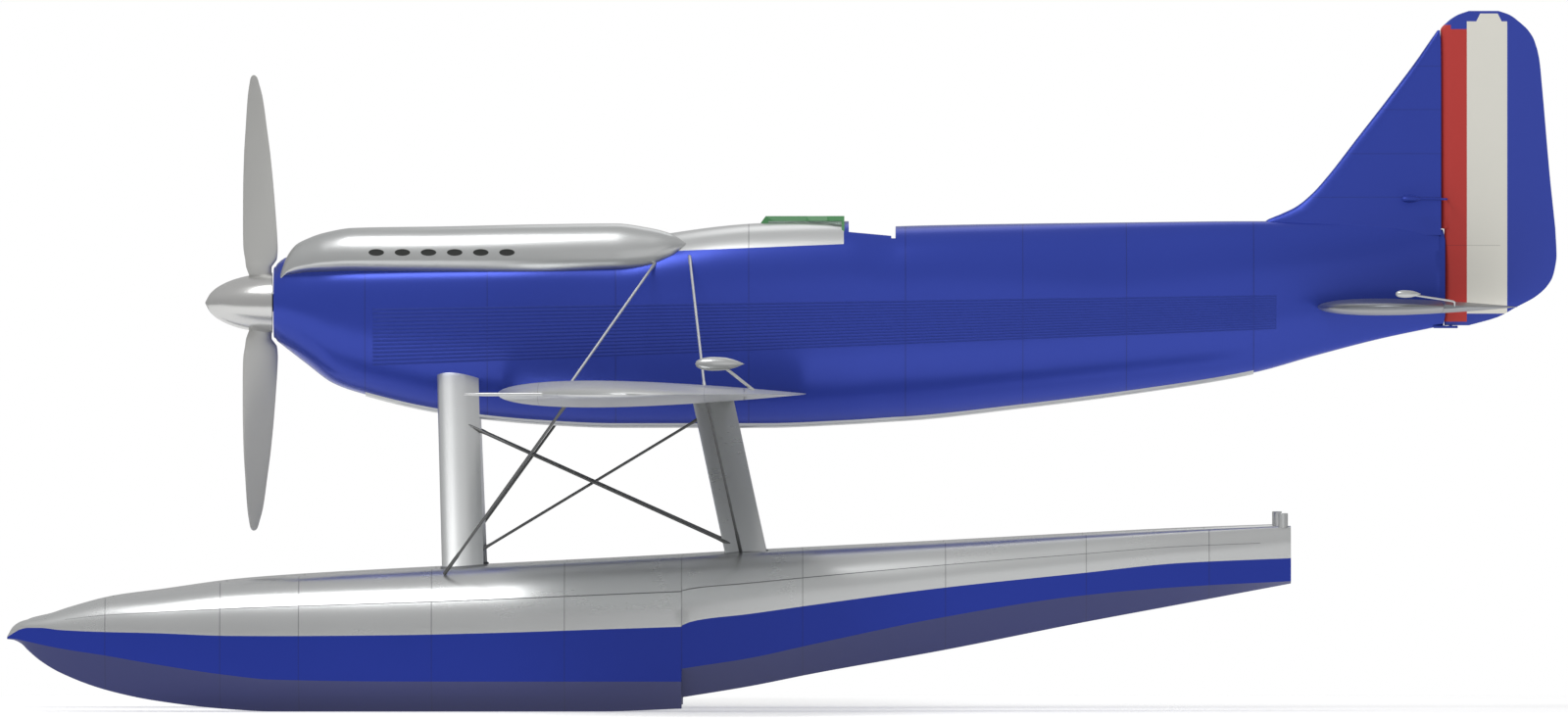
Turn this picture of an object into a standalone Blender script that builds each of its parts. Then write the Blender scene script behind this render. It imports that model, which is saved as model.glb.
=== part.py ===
"""Single-seat racing floatplane: a Blender model of its pieces at their real size.

Metres, +Z up, nose towards -X, port wing towards -Y. The origin is on the floor
under the middle of the overall length, and the two float keels stand on z = 0.
Lengthwise places are stations, measured aft from the float bows.
"""

import math

import bmesh
import bpy
import numpy as np
from mathutils import Matrix, Vector

# Driving dimensions of the whole aircraft
LENGTH = 8.79
SPAN = 9.14
FLOAT_TRACK = 2.29
SIDES = (("left", -1), ("right", 1))

# Gaps: between pieces that touch, between pieces that move, and round a pin
SEAT = 0.0003
RUNNING_GAP = 0.006
PIN_GAP = 0.0007
SHAFT_GAP = 0.0009

# Fuselage sections. Crown and belly are the superellipse exponents above and
# below the widest height.
# station, top, bottom, half width, widest height, crown, belly
BODY = (
    (1.491, 2.520, 2.112, 0.202, 2.315, 2.0, 2.0),
    (1.558, 2.572, 2.060, 0.230, 2.315, 2.0, 2.0),
    (1.669, 2.598, 1.974, 0.266, 2.300, 2.1, 2.0),
    (1.836, 2.604, 1.853, 0.303, 2.280, 2.5, 2.1),
    (2.014, 2.606, 1.792, 0.330, 2.260, 2.8, 2.2),
    (2.448, 2.610, 1.692, 0.364, 2.230, 3.2, 2.2),
    (3.004, 2.618, 1.630, 0.380, 2.200, 3.4, 2.2),
    (3.438, 2.632, 1.611, 0.380, 2.180, 3.2, 2.2),
    (3.744, 2.710, 1.611, 0.378, 2.180, 2.9, 2.2),
    (4.272, 2.768, 1.611, 0.370, 2.180, 2.9, 2.2),
    (4.762, 2.779, 1.630, 0.356, 2.180, 2.9, 2.2),
    (5.029, 2.750, 1.647, 0.343, 2.184, 2.8, 2.1),
    (5.085, 2.752, 1.650, 0.341, 2.185, 2.8, 2.1),
    (5.752, 2.765, 1.722, 0.296, 2.210, 2.4, 2.1),
    (6.342, 2.772, 1.798, 0.246, 2.250, 2.0, 2.0),
    (7.065, 2.779, 1.916, 0.180, 2.330, 2.0, 2.0),
    (7.430, 2.779, 2.017, 0.142, 2.380, 2.0, 2.0),
    (7.790, 2.776, 2.110, 0.100, 2.420, 2.0, 2.0),
    (8.121, 2.776, 2.180, 0.056, 2.450, 2.0, 2.0),
    (8.123, 2.732, 2.180, 0.056, 2.450, 2.0, 2.0),
    (8.155, 2.732, 2.184, 0.046, 2.450, 2.0, 2.0),
)
BODY_SIDES = 24
COWL_END = 3.438
CENTRE_END = 5.085
REAR_END = 7.065
SKIN = 0.014

# Engine bay and propeller
THRUST_HEIGHT = 2.314
PROPELLER_RADIUS = 1.296
PROPELLER_PITCH = 5.6
SHAFT_RADIUS = 0.050
HUB_RADIUS = 0.095
COWL_HOLE_RADIUS = 0.085
ENGINE = {"front": 1.62, "half_width": 0.30, "low": 1.72, "high": 2.54, "inset": 0.05}
FIREWALL = {"thickness": 0.019, "gap": 0.001, "clearance": 0.0016}
PIN_RADIUS = {"rudder": 0.010, "flap": 0.008}

# Blade sections: radius, chord, thickness, station of the mid-chord
BLADE = (
    (0.050, 0.080, 0.075, 1.420),
    (0.110, 0.095, 0.072, 1.418),
    (0.156, 0.131, 0.058, 1.415),
    (0.205, 0.150, 0.052, 1.406),
    (0.245, 0.187, 0.046, 1.418),
    (0.328, 0.210, 0.040, 1.415),
    (0.495, 0.216, 0.031, 1.409),
    (0.662, 0.218, 0.025, 1.403),
    (0.829, 0.211, 0.020, 1.397),
    (0.996, 0.185, 0.016, 1.391),
    (1.163, 0.146, 0.012, 1.385),
    (1.245, 0.098, 0.009, 1.380),
    (1.284, 0.062, 0.007, 1.378),
    (PROPELLER_RADIUS, 0.022, 0.005, 1.377),
)

# Spinner profile: station, radius
SPINNER = (
    (1.101, 0.006),
    (1.131, 0.056),
    (1.195, 0.104),
    (1.278, 0.138),
    (1.348, 0.155),
    (1.419, 0.166),
    (1.483, 0.172),
)

# Cylinder bank fairings: station, top, centre height, offset, half width, depth below the centre
FAIRING = (
    (1.530, 2.490, 2.450, 0.110, 0.066, 0.010),
    (1.575, 2.590, 2.500, 0.135, 0.086, 0.034),
    (1.620, 2.645, 2.520, 0.152, 0.098, 0.046),
    (1.669, 2.672, 2.530, 0.166, 0.106, 0.048),
    (1.780, 2.712, 2.550, 0.192, 0.118, 0.065),
    (1.947, 2.740, 2.560, 0.212, 0.128, 0.074),
    (2.448, 2.748, 2.562, 0.236, 0.134, 0.090),
    (3.004, 2.760, 2.565, 0.246, 0.134, 0.104),
    (3.438, 2.765, 2.570, 0.244, 0.130, 0.087),
    (3.616, 2.742, 2.590, 0.246, 0.112, 0.094),
    (3.750, 2.708, 2.630, 0.250, 0.078, 0.078),
    (3.838, 2.655, 2.642, 0.252, 0.014, 0.010),
)
COOLER = {"front": 1.9, "rear": 7.2, "sides": slice(17, 20), "thickness": 0.009}
EXHAUST = {"first": 2.078, "spacing": 0.1485, "count": 6, "height": 2.600}
EXHAUST_PORT = {"length": 0.084, "height": 0.034, "floor": 0.325}

# Air intake: station, top, half width
INTAKE = (
    (1.95, 2.690, 0.060),
    (2.30, 2.700, 0.066),
    (2.90, 2.690, 0.060),
    (3.35, 2.650, 0.040),
)
INTAKE_FOOT = {"shoulder": 2.60, "low": 2.50}
INTAKE_MOUTH = {"height": 2.640, "radius": 0.030, "depth": 2.06}

# Cockpit: the silver deck's parting line rises from one end to the other
DECK_START = 3.56
DECK_END = 4.734
DECK_PARTING = (2.600, 2.648)
COCKPIT_REAR = 5.029
SILL = {"front": 4.762, "rear": 5.003, "front_height": 2.717, "rear_height": 2.695, "notch": 2.681}

# Windscreen hood: station, half width at the base, half width at the top, top
SCREEN = (
    (4.262, 0.050, 0.036, 2.770),
    (4.290, 0.066, 0.042, 2.808),
    (4.520, 0.150, 0.098, 2.808),
    (4.640, 0.205, 0.126, 2.808),
    (4.737, 0.275, 0.150, 2.808),
)
SCREEN_FRAME = {"thickness": 0.010, "rail": 0.028, "front": 4.305, "rear": 4.722, "low": 2.66}
GLASS_THICKNESS = 0.005
ROOF_PANE = ((4.305, 0.030), (4.520, 0.082), (4.640, 0.110), (4.722, 0.130))

# Inside the cockpit: stations, heights and half widths
FLOOR = {"front": 4.00, "top": 1.86, "thickness": 0.012}
BULKHEAD = {"station": 5.036, "thickness": 0.012}
PANEL = {"station": 4.272, "thickness": 0.012, "low": 2.36}
SEAT_PAN = {"front": 4.70, "rear": 5.03, "top": 2.05, "back_top": 2.56, "half_width": 0.19, "plate": 0.03}
SEAT_BOX = {"front": 4.74, "rear": 5.00, "half_width": 0.12}
STICK = {"foot": 4.56, "head": 4.60, "top": 2.30, "radius": 0.012, "boot_radius": 0.04, "boot_top": 1.90}

# Wing: the chord is whole out to TAPER_START, then both edges round to the tip
WING = {"lead": 2.781, "trail": 4.517, "height": 1.797, "thickness": 0.087}
WING_TIP = {"station": 3.56, "start": 1.83, "power": 2.2}
WING_SPANWISE = (0.20, 1.83, 2.20, 2.75, 3.25, 3.75, 4.05, 4.28, 4.44, 4.53, SPAN / 2)
WING_HOLLOW = {"first": 0.06, "last": 0.70, "outer": 2.05, "skin": 0.014}
AILERON = {"hinge": 4.183, "inner": 2.20, "outer": 3.75}
AILERON_BALANCE = {"span": 2.95, "nose": 3.897, "tail": 4.172, "height": 1.967, "radius": 0.039}
PITOT = {"nose": 2.610, "span": 3.99, "radius": 0.010, "foot": 3.12}

# Tailplane and elevators
TAILPLANE = {"lead": 7.427, "trail": 8.556, "height": 2.290, "thickness": 0.085}
TAILPLANE_TIP = {"station": 8.02, "start": 0.45, "power": 2.4}
TAIL_HOLLOW = {"first": 0.10, "last": 0.58, "outer": 0.85, "skin": 0.012}
TAIL_HALF_SPAN = 1.21
TAIL_SPANWISE = (0.02, 0.45, 0.75, 0.95, 1.08, 1.16, TAIL_HALF_SPAN)
ELEVATOR = {"hinge": 8.135, "inner": 0.066, "outer": 1.155, "sweep": 23.0}
ELEVATOR_BALANCE = {"nose": 7.850, "tail": 7.995, "height": 2.362, "radius": 0.022}

# Fin: height, leading-edge station, half thickness
FIN = (
    (2.700, 7.080, 0.042),
    (2.781, 7.135, 0.041),
    (2.820, 7.222, 0.041),
    (2.860, 7.305, 0.040),
    (2.937, 7.400, 0.039),
    (3.032, 7.485, 0.038),
    (3.254, 7.657, 0.036),
    (3.477, 7.830, 0.033),
    (3.699, 7.996, 0.031),
    (3.811, 8.073, 0.028),
    (3.866, 8.112, 0.018),
)
FIN_TRAIL = 8.132

# Rudder: height, front station, trailing-edge station, half thickness
RUDDER_HINGE = 8.187
RUDDER = (
    (2.190, 8.150, 8.290, 0.014),
    (2.231, 8.150, 8.450, 0.022),
    (2.289, 8.150, 8.559, 0.025),
    (2.347, 8.150, 8.667, 0.025),
    (2.403, 8.150, 8.731, 0.025),
    (2.461, 8.150, 8.767, 0.025),
    (2.520, 8.150, 8.782, 0.025),
    (2.581, 8.150, 8.790, 0.025),
    (2.739, 8.150, 8.783, 0.025),
    (2.744, 8.129, 8.783, 0.031),
    (3.032, 8.129, 8.752, 0.031),
    (3.560, 8.129, 8.706, 0.026),
    (3.699, 8.129, 8.692, 0.023),
    (3.811, 8.129, 8.662, 0.020),
    (3.866, 8.129, 8.628, 0.018),
    (3.915, 8.170, 8.576, 0.014),
    (3.955, 8.230, 8.520, 0.010),
    (3.976, 8.290, 8.460, 0.006),
)
RUDDER_COVE = {"low": 0.043, "high": 0.064, "step": 2.738}
RUDDER_BALANCE = {"nose": 7.904, "tail": 8.020, "height": 2.904, "offset": 0.165, "radius": 0.020, "foot": 8.163}
HEEL = {"front": 8.09, "rear": 8.228, "low": 2.170, "high": 2.184, "half_width": 0.022}

# Floats: station, deck, side top, chine, keel, half beam
FLOAT = (
    (0.000, 0.424, 0.420, 0.414, 0.410, 0.006),
    (0.033, 0.480, 0.442, 0.412, 0.406, 0.022),
    (0.078, 0.510, 0.466, 0.404, 0.386, 0.042),
    (0.120, 0.522, 0.474, 0.396, 0.345, 0.056),
    (0.190, 0.538, 0.474, 0.380, 0.286, 0.076),
    (0.300, 0.574, 0.462, 0.358, 0.220, 0.102),
    (0.556, 0.641, 0.451, 0.318, 0.123, 0.150),
    (0.834, 0.679, 0.445, 0.270, 0.062, 0.194),
    (1.252, 0.736, 0.430, 0.208, 0.013, 0.240),
    (1.502, 0.757, 0.429, 0.183, 0.000, 0.262),
    (2.170, 0.796, 0.434, 0.173, 0.000, 0.297),
    (2.726, 0.824, 0.446, 0.172, 0.000, 0.310),
    (3.360, 0.856, 0.467, 0.172, 0.000, 0.312),
    (3.815, 0.880, 0.482, 0.172, 0.016, 0.310),
    (3.817, 0.880, 0.506, 0.245, 0.080, 0.310),
    (4.195, 0.902, 0.554, 0.304, 0.142, 0.303),
    (4.562, 0.921, 0.606, 0.384, 0.215, 0.290),
    (5.285, 0.957, 0.701, 0.534, 0.345, 0.250),
    (6.064, 0.999, 0.783, 0.656, 0.500, 0.190),
    (6.620, 1.027, 0.840, 0.705, 0.604, 0.142),
    (7.260, 1.051, 0.868, 0.738, 0.724, 0.078),
)
FLOAT_HOLLOW = {"front": 0.40, "rear": 7.15, "skin": 0.016, "drain": 0.86}
FLOAT_POST = {"station": 7.216, "radius": 0.028, "top": 1.122}

# Float struts: upper and lower ends as station, offset, height
STRUT_CHORD = 0.236
STRUT_THICKNESS = 0.062
STRUTS = {
    "front": ((2.537, 0.217, 2.000), (2.580, 1.225, 0.740)),
    "rear": ((3.976, 0.30, 1.830), (4.198, FLOAT_TRACK / 2, 0.800)),
}

# Bracing wires: the stations, offsets and heights of their ends
WIRE_RADIUS = 0.008
WING_WIRES = {
    "front": {"body": (3.683, 0.24, 2.570), "above": (3.150, 2.10), "below": (3.209, 2.10), "float": (2.475, 1.28, 0.78)},
    "rear": {"body": (3.855, 0.26, 2.598), "above": (3.951, 2.10), "below": (3.951, 2.10), "float": (4.150, 1.145, 0.90)},
}

# Crossed wires between the struts: share of each strut from its top, and the offset
# that lets the two wires pass each other
STRUT_WIRES = {
    "down_aft": (0.285, 0.896, 0.0095),
    "up_aft": (0.913, 0.116, -0.0095),
}

# Paint and metal: colour, metallic, roughness
PAINTS = {
    "blue_paint": ((0.030, 0.055, 0.300), 0.0, 0.35),
    "silver_skin": ((0.560, 0.575, 0.575), 0.9, 0.32),
    "screen_green": ((0.060, 0.250, 0.090), 0.0, 0.45),
    "glass": ((0.700, 0.800, 0.780), 0.0, 0.05),
    "rudder_paint": ((0.600, 0.580, 0.520), 0.0, 0.45),
    "cast_metal": ((0.100, 0.100, 0.105), 0.3, 0.60),
    "polished_metal": ((0.400, 0.400, 0.395), 1.0, 0.20),
    "wire_steel": ((0.300, 0.310, 0.310), 1.0, 0.35),
    "cockpit_metal": ((0.200, 0.215, 0.190), 0.2, 0.55),
    "leather": ((0.110, 0.060, 0.035), 0.0, 0.60),
}


def x_of(station):
    """Station aft of the float bows to the model's X."""
    return station - LENGTH / 2


# Collections and materials

def new_collection(name):
    collection = bpy.data.collections.new(name)
    bpy.context.scene.collection.children.link(collection)
    return collection


def clear_scene():
    for thing in list(bpy.data.objects):
        bpy.data.objects.remove(thing)


def make_paints():
    made = {}
    for name, (colour, metallic, roughness) in PAINTS.items():
        material = bpy.data.materials.new(name)
        material.use_nodes = True
        shader = material.node_tree.nodes["Principled BSDF"]
        shader.inputs["Base Color"].default_value = (*colour, 1.0)
        shader.inputs["Metallic"].default_value = metallic
        shader.inputs["Roughness"].default_value = roughness
        made[name] = material
    return made


clear_scene()
PIECES = new_collection("racing_floatplane")
CUTTERS = new_collection("cutters")
PAINT = make_paints()


# Mesh helpers

def add_mesh(name, mesh_data, paint=None):
    """Turns a bmesh into an object: a painted piece, or a hidden cutter if it has no paint."""
    bmesh.ops.recalc_face_normals(mesh_data, faces=mesh_data.faces)
    mesh = bpy.data.meshes.new(name)
    mesh_data.to_mesh(mesh)
    mesh_data.free()
    thing = bpy.data.objects.new(name, mesh)
    if paint:
        mesh.materials.append(PAINT[paint])
        PIECES.objects.link(thing)
    else:
        CUTTERS.objects.link(thing)
        thing.hide_render = True
        thing.display_type = "WIRE"
    return thing


def loft(name, rings, paint=None, ring_of_rings=False):
    """Skins rings of equal count. Ends are capped, or the last ring joins the first.

    Every loft splits its faces along the same diagonal, so that a piece and the
    cutter made from its rings have the same facets.
    """
    built = bmesh.new()
    rows = [[built.verts.new(point) for point in ring] for ring in rings]
    pairs = list(zip(rows, rows[1:]))
    if ring_of_rings:
        pairs.append((rows[-1], rows[0]))
    else:
        built.faces.new(rows[0])
        built.faces.new(rows[-1])
    count = len(rows[0])
    for first, second in pairs:
        for i in range(count):
            j = (i + 1) % count
            built.faces.new((first[i], first[j], second[j]))
            built.faces.new((first[i], second[j], second[i]))
    return add_mesh(name, built, paint)


def rod(name, start, end, radius, sides=8, paint=None, end_radius=None):
    """A round rod, or a cone, between two points."""
    start, end = Vector(start), Vector(end)
    along = end - start
    turn = along.to_track_quat("Z", "Y").to_matrix().to_4x4()
    place = Matrix.Translation((start + end) / 2) @ turn
    built = bmesh.new()
    bmesh.ops.create_cone(
        built, cap_ends=True, segments=sides, radius1=radius,
        radius2=radius if end_radius is None else end_radius,
        depth=along.length, matrix=place,
    )
    return add_mesh(name, built, paint)


def block(name, low, high, paint=None):
    """A box between two corners."""
    low, high = Vector(low), Vector(high)
    size = Matrix.Diagonal((*(high - low), 1.0))
    built = bmesh.new()
    bmesh.ops.create_cube(built, size=1.0, matrix=Matrix.Translation((low + high) / 2) @ size)
    return add_mesh(name, built, paint)


def boolean(thing, tool, operation):
    step = thing.modifiers.new(operation.lower(), "BOOLEAN")
    step.object = tool
    step.operation = operation
    step.solver = "EXACT"


def cut(thing, *tools):
    for tool in tools:
        boolean(thing, tool, "DIFFERENCE")


def join(thing, *tools):
    for tool in tools:
        boolean(thing, tool, "UNION")


def teardrop(name, nose, tail, radius, paint=None):
    """A streamlined weight: a Screw profile turned about its own length."""
    nose, tail = Vector(nose), Vector(tail)
    length = (tail - nose).length
    shares = ((0.0, 0.0), (0.06, 0.55), (0.18, 0.88), (0.34, 1.0), (0.58, 0.93), (0.78, 0.62), (1.0, 0.0))
    profile = bmesh.new()
    points = [profile.verts.new((radius * r, 0, -length * s)) for s, r in shares]
    for upper, lower in zip(points, points[1:]):
        profile.edges.new((upper, lower))
    thing = add_mesh(name, profile, paint)
    turn = thing.modifiers.new("turn", "SCREW")
    turn.steps = turn.render_steps = 12
    turn.use_merge_vertices = True
    turn.merge_threshold = 0.0001
    thing.location = nose
    thing.rotation_euler = (nose - tail).to_track_quat("Z", "Y").to_euler()
    return thing


# Fuselage

def body_ring(row, grow=0.0):
    """A fuselage section: two half superellipses that meet at the widest height."""
    station, top, bottom, half, widest, crown, belly = row
    angles = np.arange(BODY_SIDES) * 2 * math.pi / BODY_SIDES
    cosine, sine = np.cos(angles), np.sin(angles)
    power = np.where(sine > 0, 2 / crown, 2 / belly)
    y = (half + grow) * np.sign(cosine) * np.abs(cosine) ** power
    rise = np.where(sine > 0, top + grow - widest, widest - bottom + grow)
    z = widest + rise * np.sign(sine) * np.abs(sine) ** power
    x = np.full(BODY_SIDES, x_of(station))
    return np.stack([x, y, z], axis=1)


def body_rows(start, end):
    return [row for row in BODY if start - 1e-6 <= row[0] <= end + 1e-6]


def shifted(row, shift):
    return (row[0] + shift, *row[1:])


def body_solid(name, grow):
    """The whole fuselage as one closed cutter, a little larger than the skin."""
    rings = [body_ring(row, grow) for row in BODY]
    rings[0] = body_ring(shifted(BODY[0], -grow), grow)
    rings[-1] = body_ring(shifted(BODY[-1], grow), grow)
    return loft(name, rings)


def shell(name, rows, paint, close_rear=None):
    """A fuselage section as a skin with square ends; its cavity may stop short at the rear."""
    rows = list(rows)
    outer = [body_ring(row) for row in rows]
    if close_rear is None:
        inner = [body_ring(row, -SKIN) for row in reversed(rows)]
        return loft(name, outer + inner, paint, ring_of_rings=True)
    inner_rows = [row for row in rows if row[0] < close_rear]
    inner = [body_ring(row, -SKIN) for row in reversed(inner_rows)]
    return loft(name, inner + outer, paint)


def trimmed(rows):
    """Rows whose last one stops short of the next piece by the seat gap."""
    return [*rows[:-1], shifted(rows[-1], -SEAT)]


BODY_CUT = body_solid("body_cut", SEAT)


def parting_block(name, grow):
    """The space above the silver deck's parting line."""
    low, high = DECK_PARTING
    start, end = x_of(DECK_START) - grow, x_of(DECK_END) + grow
    half, roof = 0.6, 3.2
    rings = [
        [(start, -half, low - grow), (start, half, low - grow), (start, half, roof), (start, -half, roof)],
        [(end, -half, high - grow), (end, half, high - grow), (end, half, roof), (end, -half, roof)],
    ]
    return loft(name, rings)


def cockpit_cutters():
    """The sloping sill behind the windscreen, and the notch at its end."""
    half, roof = 0.5, 3.2
    front, rear = x_of(SILL["front"]), x_of(SILL["rear"])
    ends = ((front, SILL["front_height"]), (rear, SILL["rear_height"]))
    rings = [[(x, -half, z), (x, half, z), (x, half, roof), (x, -half, roof)] for x, z in ends]
    sill = loft("sill_cut", rings)
    notch = block("notch_cut", (rear - 0.001, -half, SILL["notch"]), (x_of(COCKPIT_REAR), half, roof))
    return sill, notch


def make_fuselage():
    cowl_rows = body_rows(BODY[0][0], COWL_END)
    nose = x_of(BODY[0][0])
    outer = [body_ring(row) for row in trimmed(cowl_rows)]
    inner = [body_ring(row, -SKIN) for row in reversed(trimmed(cowl_rows))]
    inner[-1][:, 0] = nose + SKIN
    hole = rod_ring(nose + SKIN, COWL_HOLE_RADIUS), rod_ring(nose, COWL_HOLE_RADIUS)
    cowl = loft("engine_cowl", [*outer, *inner, *hole], "blue_paint", ring_of_rings=True)

    centre = shell("centre_fuselage", trimmed(body_rows(COWL_END, CENTRE_END)), "blue_paint")
    deck = shell("front_deck", body_rows(COWL_END, CENTRE_END), "silver_skin")
    cut(centre, parting_block("deck_space", SEAT), *cockpit_cutters())
    boolean(deck, parting_block("deck_block", 0.0), "INTERSECT")

    shell("rear_fuselage", trimmed(body_rows(CENTRE_END, REAR_END)), "blue_paint")
    tail = shell("tail_cone", body_rows(REAR_END, BODY[-1][0]), "blue_paint", close_rear=8.1225)
    return cowl, tail


def rod_ring(x, radius):
    """A circle round the thrust line, with the fuselage ring's count and start."""
    angles = np.arange(BODY_SIDES) * 2 * math.pi / BODY_SIDES
    y, z = radius * np.cos(angles), THRUST_HEIGHT + radius * np.sin(angles)
    return np.stack([np.full(BODY_SIDES, x), y, z], axis=1)


def fit_tail(tail):
    """The heel that carries the rudder, and the bores for rudder and elevator pins."""
    heel = block(
        "heel",
        (x_of(HEEL["front"]), -HEEL["half_width"], HEEL["low"]),
        (x_of(HEEL["rear"]), HEEL["half_width"], HEEL["high"]),
    )
    hinge = x_of(RUDDER_HINGE)
    cut(tail, rudder_cove("tail_cove", RUDDER_COVE["low"], HEEL["high"] + 0.0015, 2.8))
    join(tail, heel)
    cut(tail, rod("heel_bore", (hinge, 0, 2.1), (hinge, 0, 2.2), PIN_RADIUS["rudder"] + PIN_GAP, 16))
    pin_line = x_of(ELEVATOR["hinge"]), TAILPLANE["height"]
    for name, side in SIDES:
        ends = [(pin_line[0], side * y, pin_line[1]) for y in (0.022, 0.10)]
        cut(tail, rod(f"elevator_bore_{name}", *ends, PIN_RADIUS["flap"] + PIN_GAP, 16))


def make_firewall():
    """The bulkhead that the engine is bolted to, a plate inside the skin."""
    row = next(row for row in BODY if row[0] == COWL_END)
    faces = (-FIREWALL["gap"] - FIREWALL["thickness"], -FIREWALL["gap"])
    rings = [body_ring(shifted(row, shift), -SKIN - FIREWALL["clearance"]) for shift in faces]
    loft("firewall", rings, "cockpit_metal")


def make_engine():
    """The engine as one plain block, with the bore that carries the propeller shaft."""
    low = (x_of(ENGINE["front"]), -ENGINE["half_width"], ENGINE["low"])
    rear = COWL_END - FIREWALL["gap"] - FIREWALL["thickness"] - SEAT
    high = (x_of(rear), ENGINE["half_width"], ENGINE["high"])
    engine = block("engine_block", low, high, "cast_metal")
    room = [body_ring(row, -ENGINE["inset"]) for row in body_rows(BODY[0][0], COWL_END)]
    boolean(engine, loft("engine_room", room), "INTERSECT")
    ends = [(x_of(s), 0, THRUST_HEIGHT) for s in (ENGINE["front"] - 0.01, ENGINE["front"] + 0.08)]
    cut(engine, rod("shaft_bore", *ends, SHAFT_RADIUS + SHAFT_GAP, 24))


def fairing_rings(side, grow=0.0):
    rings = []
    for station, top, centre, offset, half, depth in FAIRING:
        angles = np.arange(16) * 2 * math.pi / 16
        y = side * offset + (half + grow) * np.cos(angles)
        z = centre + (np.where(np.sin(angles) > 0, top - centre, depth) + grow) * np.sin(angles)
        rings.append(np.stack([np.full(16, x_of(station)), y, z], axis=1))
    return rings


FAIRING_CUT = {name: loft(f"fairing_cut_{name}", fairing_rings(side, 2 * SEAT)) for name, side in SIDES}


def make_bank_fairings():
    """The silver fairings over the two cylinder banks, each with six exhaust ports."""
    port = EXHAUST_PORT
    for name, side in SIDES:
        fairing = loft(f"cylinder_fairing_{name}", fairing_rings(side), "silver_skin")
        cut(fairing, BODY_CUT)
        for i in range(EXHAUST["count"]):
            x = x_of(EXHAUST["first"] + i * EXHAUST["spacing"])
            hole = rod(f"port_{name}_{i}", (0, 0, 0), (0, side * 0.2, 0), 0.5, 14)
            stretch = Matrix.Diagonal((port["length"], 1.0, port["height"], 1.0))
            hole.data.transform(stretch)
            hole.location = (x, side * port["floor"], EXHAUST["height"])
            cut(fairing, hole)


# Propeller and spinner

def blade_rings(direction, grow=0.0):
    """Twisted blade sections: each is turned by the helix angle of one pitch."""
    shape = np.array([(1.0, 0.0), (0.7, 0.62), (0.3, 0.95), (-0.2, 1.0), (-0.65, 0.66), (-1.0, 0.0),
                      (-0.65, -0.66), (-0.2, -1.0), (0.3, -0.95), (0.7, -0.62)])
    rings = []
    for radius, chord, thickness, station in BLADE:
        helix = math.atan(PROPELLER_PITCH / (2 * math.pi * radius))
        along = shape[:, 0] * (chord / 2 + grow)
        across = shape[:, 1] * (thickness / 2 + grow)
        x = x_of(station) - along * math.sin(helix) + across * math.cos(helix)
        y = direction * (along * math.cos(helix) + across * math.sin(helix))
        z = np.full(len(shape), THRUST_HEIGHT + direction * radius)
        rings.append(np.stack([x, y, z], axis=1))
    return rings


def make_propeller():
    """Hub, shaft and two blades forged as one, and the spinner that closes over them."""
    hub_ends = [(x_of(s), 0, THRUST_HEIGHT) for s in (1.362, 1.474)]
    shaft_ends = [(x_of(s), 0, THRUST_HEIGHT) for s in (1.40, ENGINE["front"] + 0.06)]
    propeller = rod("propeller", *hub_ends, HUB_RADIUS, 20, "polished_metal")
    join(
        propeller,
        rod("shaft", *shaft_ends, SHAFT_RADIUS, 24),
        loft("blade_up", blade_rings(1)),
        loft("blade_down", blade_rings(-1)),
    )
    angles = np.arange(28) * 2 * math.pi / 28
    rings = []
    for station, radius in SPINNER:
        y, z = radius * np.cos(angles), THRUST_HEIGHT + radius * np.sin(angles)
        rings.append(np.stack([np.full(28, x_of(station)), y, z], axis=1))
    spinner = loft("spinner", rings, "polished_metal")
    spinner_room = [
        rod("hub_room", *[(x_of(s), 0, THRUST_HEIGHT) for s in (1.3615, 1.4745)], HUB_RADIUS + 0.0015, 20),
        rod("shaft_room", *[(x_of(s), 0, THRUST_HEIGHT) for s in (1.40, 1.6)], SHAFT_RADIUS + 0.001, 24),
        loft("blade_room_up", blade_rings(1, 0.0006)),
        loft("blade_room_down", blade_rings(-1, 0.0006)),
    ]
    cut(spinner, *spinner_room)


# Flying surfaces

def thickness_at(share, relative):
    """Half thickness of a symmetric section, as a share of the chord."""
    poly = 0.2969 * np.sqrt(share) - 0.1260 * share - 0.3516 * share**2 + 0.2843 * share**3 - 0.1015 * share**4
    return 5 * relative * poly


def plan_edges(surface, tip, half_span, y):
    """Leading and trailing stations at a distance from the centre line."""
    reach = max(0.0, (abs(y) - tip["start"]) / (half_span - tip["start"]))
    scale = max(0.06, (1 - min(1.0, reach) ** tip["power"]) ** (1 / tip["power"]))
    lead = tip["station"] - (tip["station"] - surface["lead"]) * scale
    trail = tip["station"] + (surface["trail"] - tip["station"]) * scale
    return lead, trail


SECTION_SHARES = np.array([0.0, 0.02, 0.07, 0.16, 0.30, 0.46, 0.62, 0.78, 0.90, 1.0])
EDGE_HALF = 0.0012


def section_ring(surface, tip, half_span, y, grow=0.0):
    """One flying-surface section, from the trailing edge over the top to the nose and back."""
    lead, trail = plan_edges(surface, tip, half_span, y)
    chord = trail - lead
    half = np.maximum(thickness_at(SECTION_SHARES, surface["thickness"]) * chord, 0.0)
    half[1:] = np.maximum(half[1:], EDGE_HALF)
    x = x_of(lead) - grow + SECTION_SHARES * (chord + 2 * grow)
    upper = [(px, y, surface["height"] + h + grow) for px, h in zip(x, half)]
    lower = [(px, y, surface["height"] - h - grow) for px, h in zip(x, half)]
    nose = [(x[0], y, surface["height"])]
    return nose + upper[1:] + lower[:0:-1]


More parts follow.
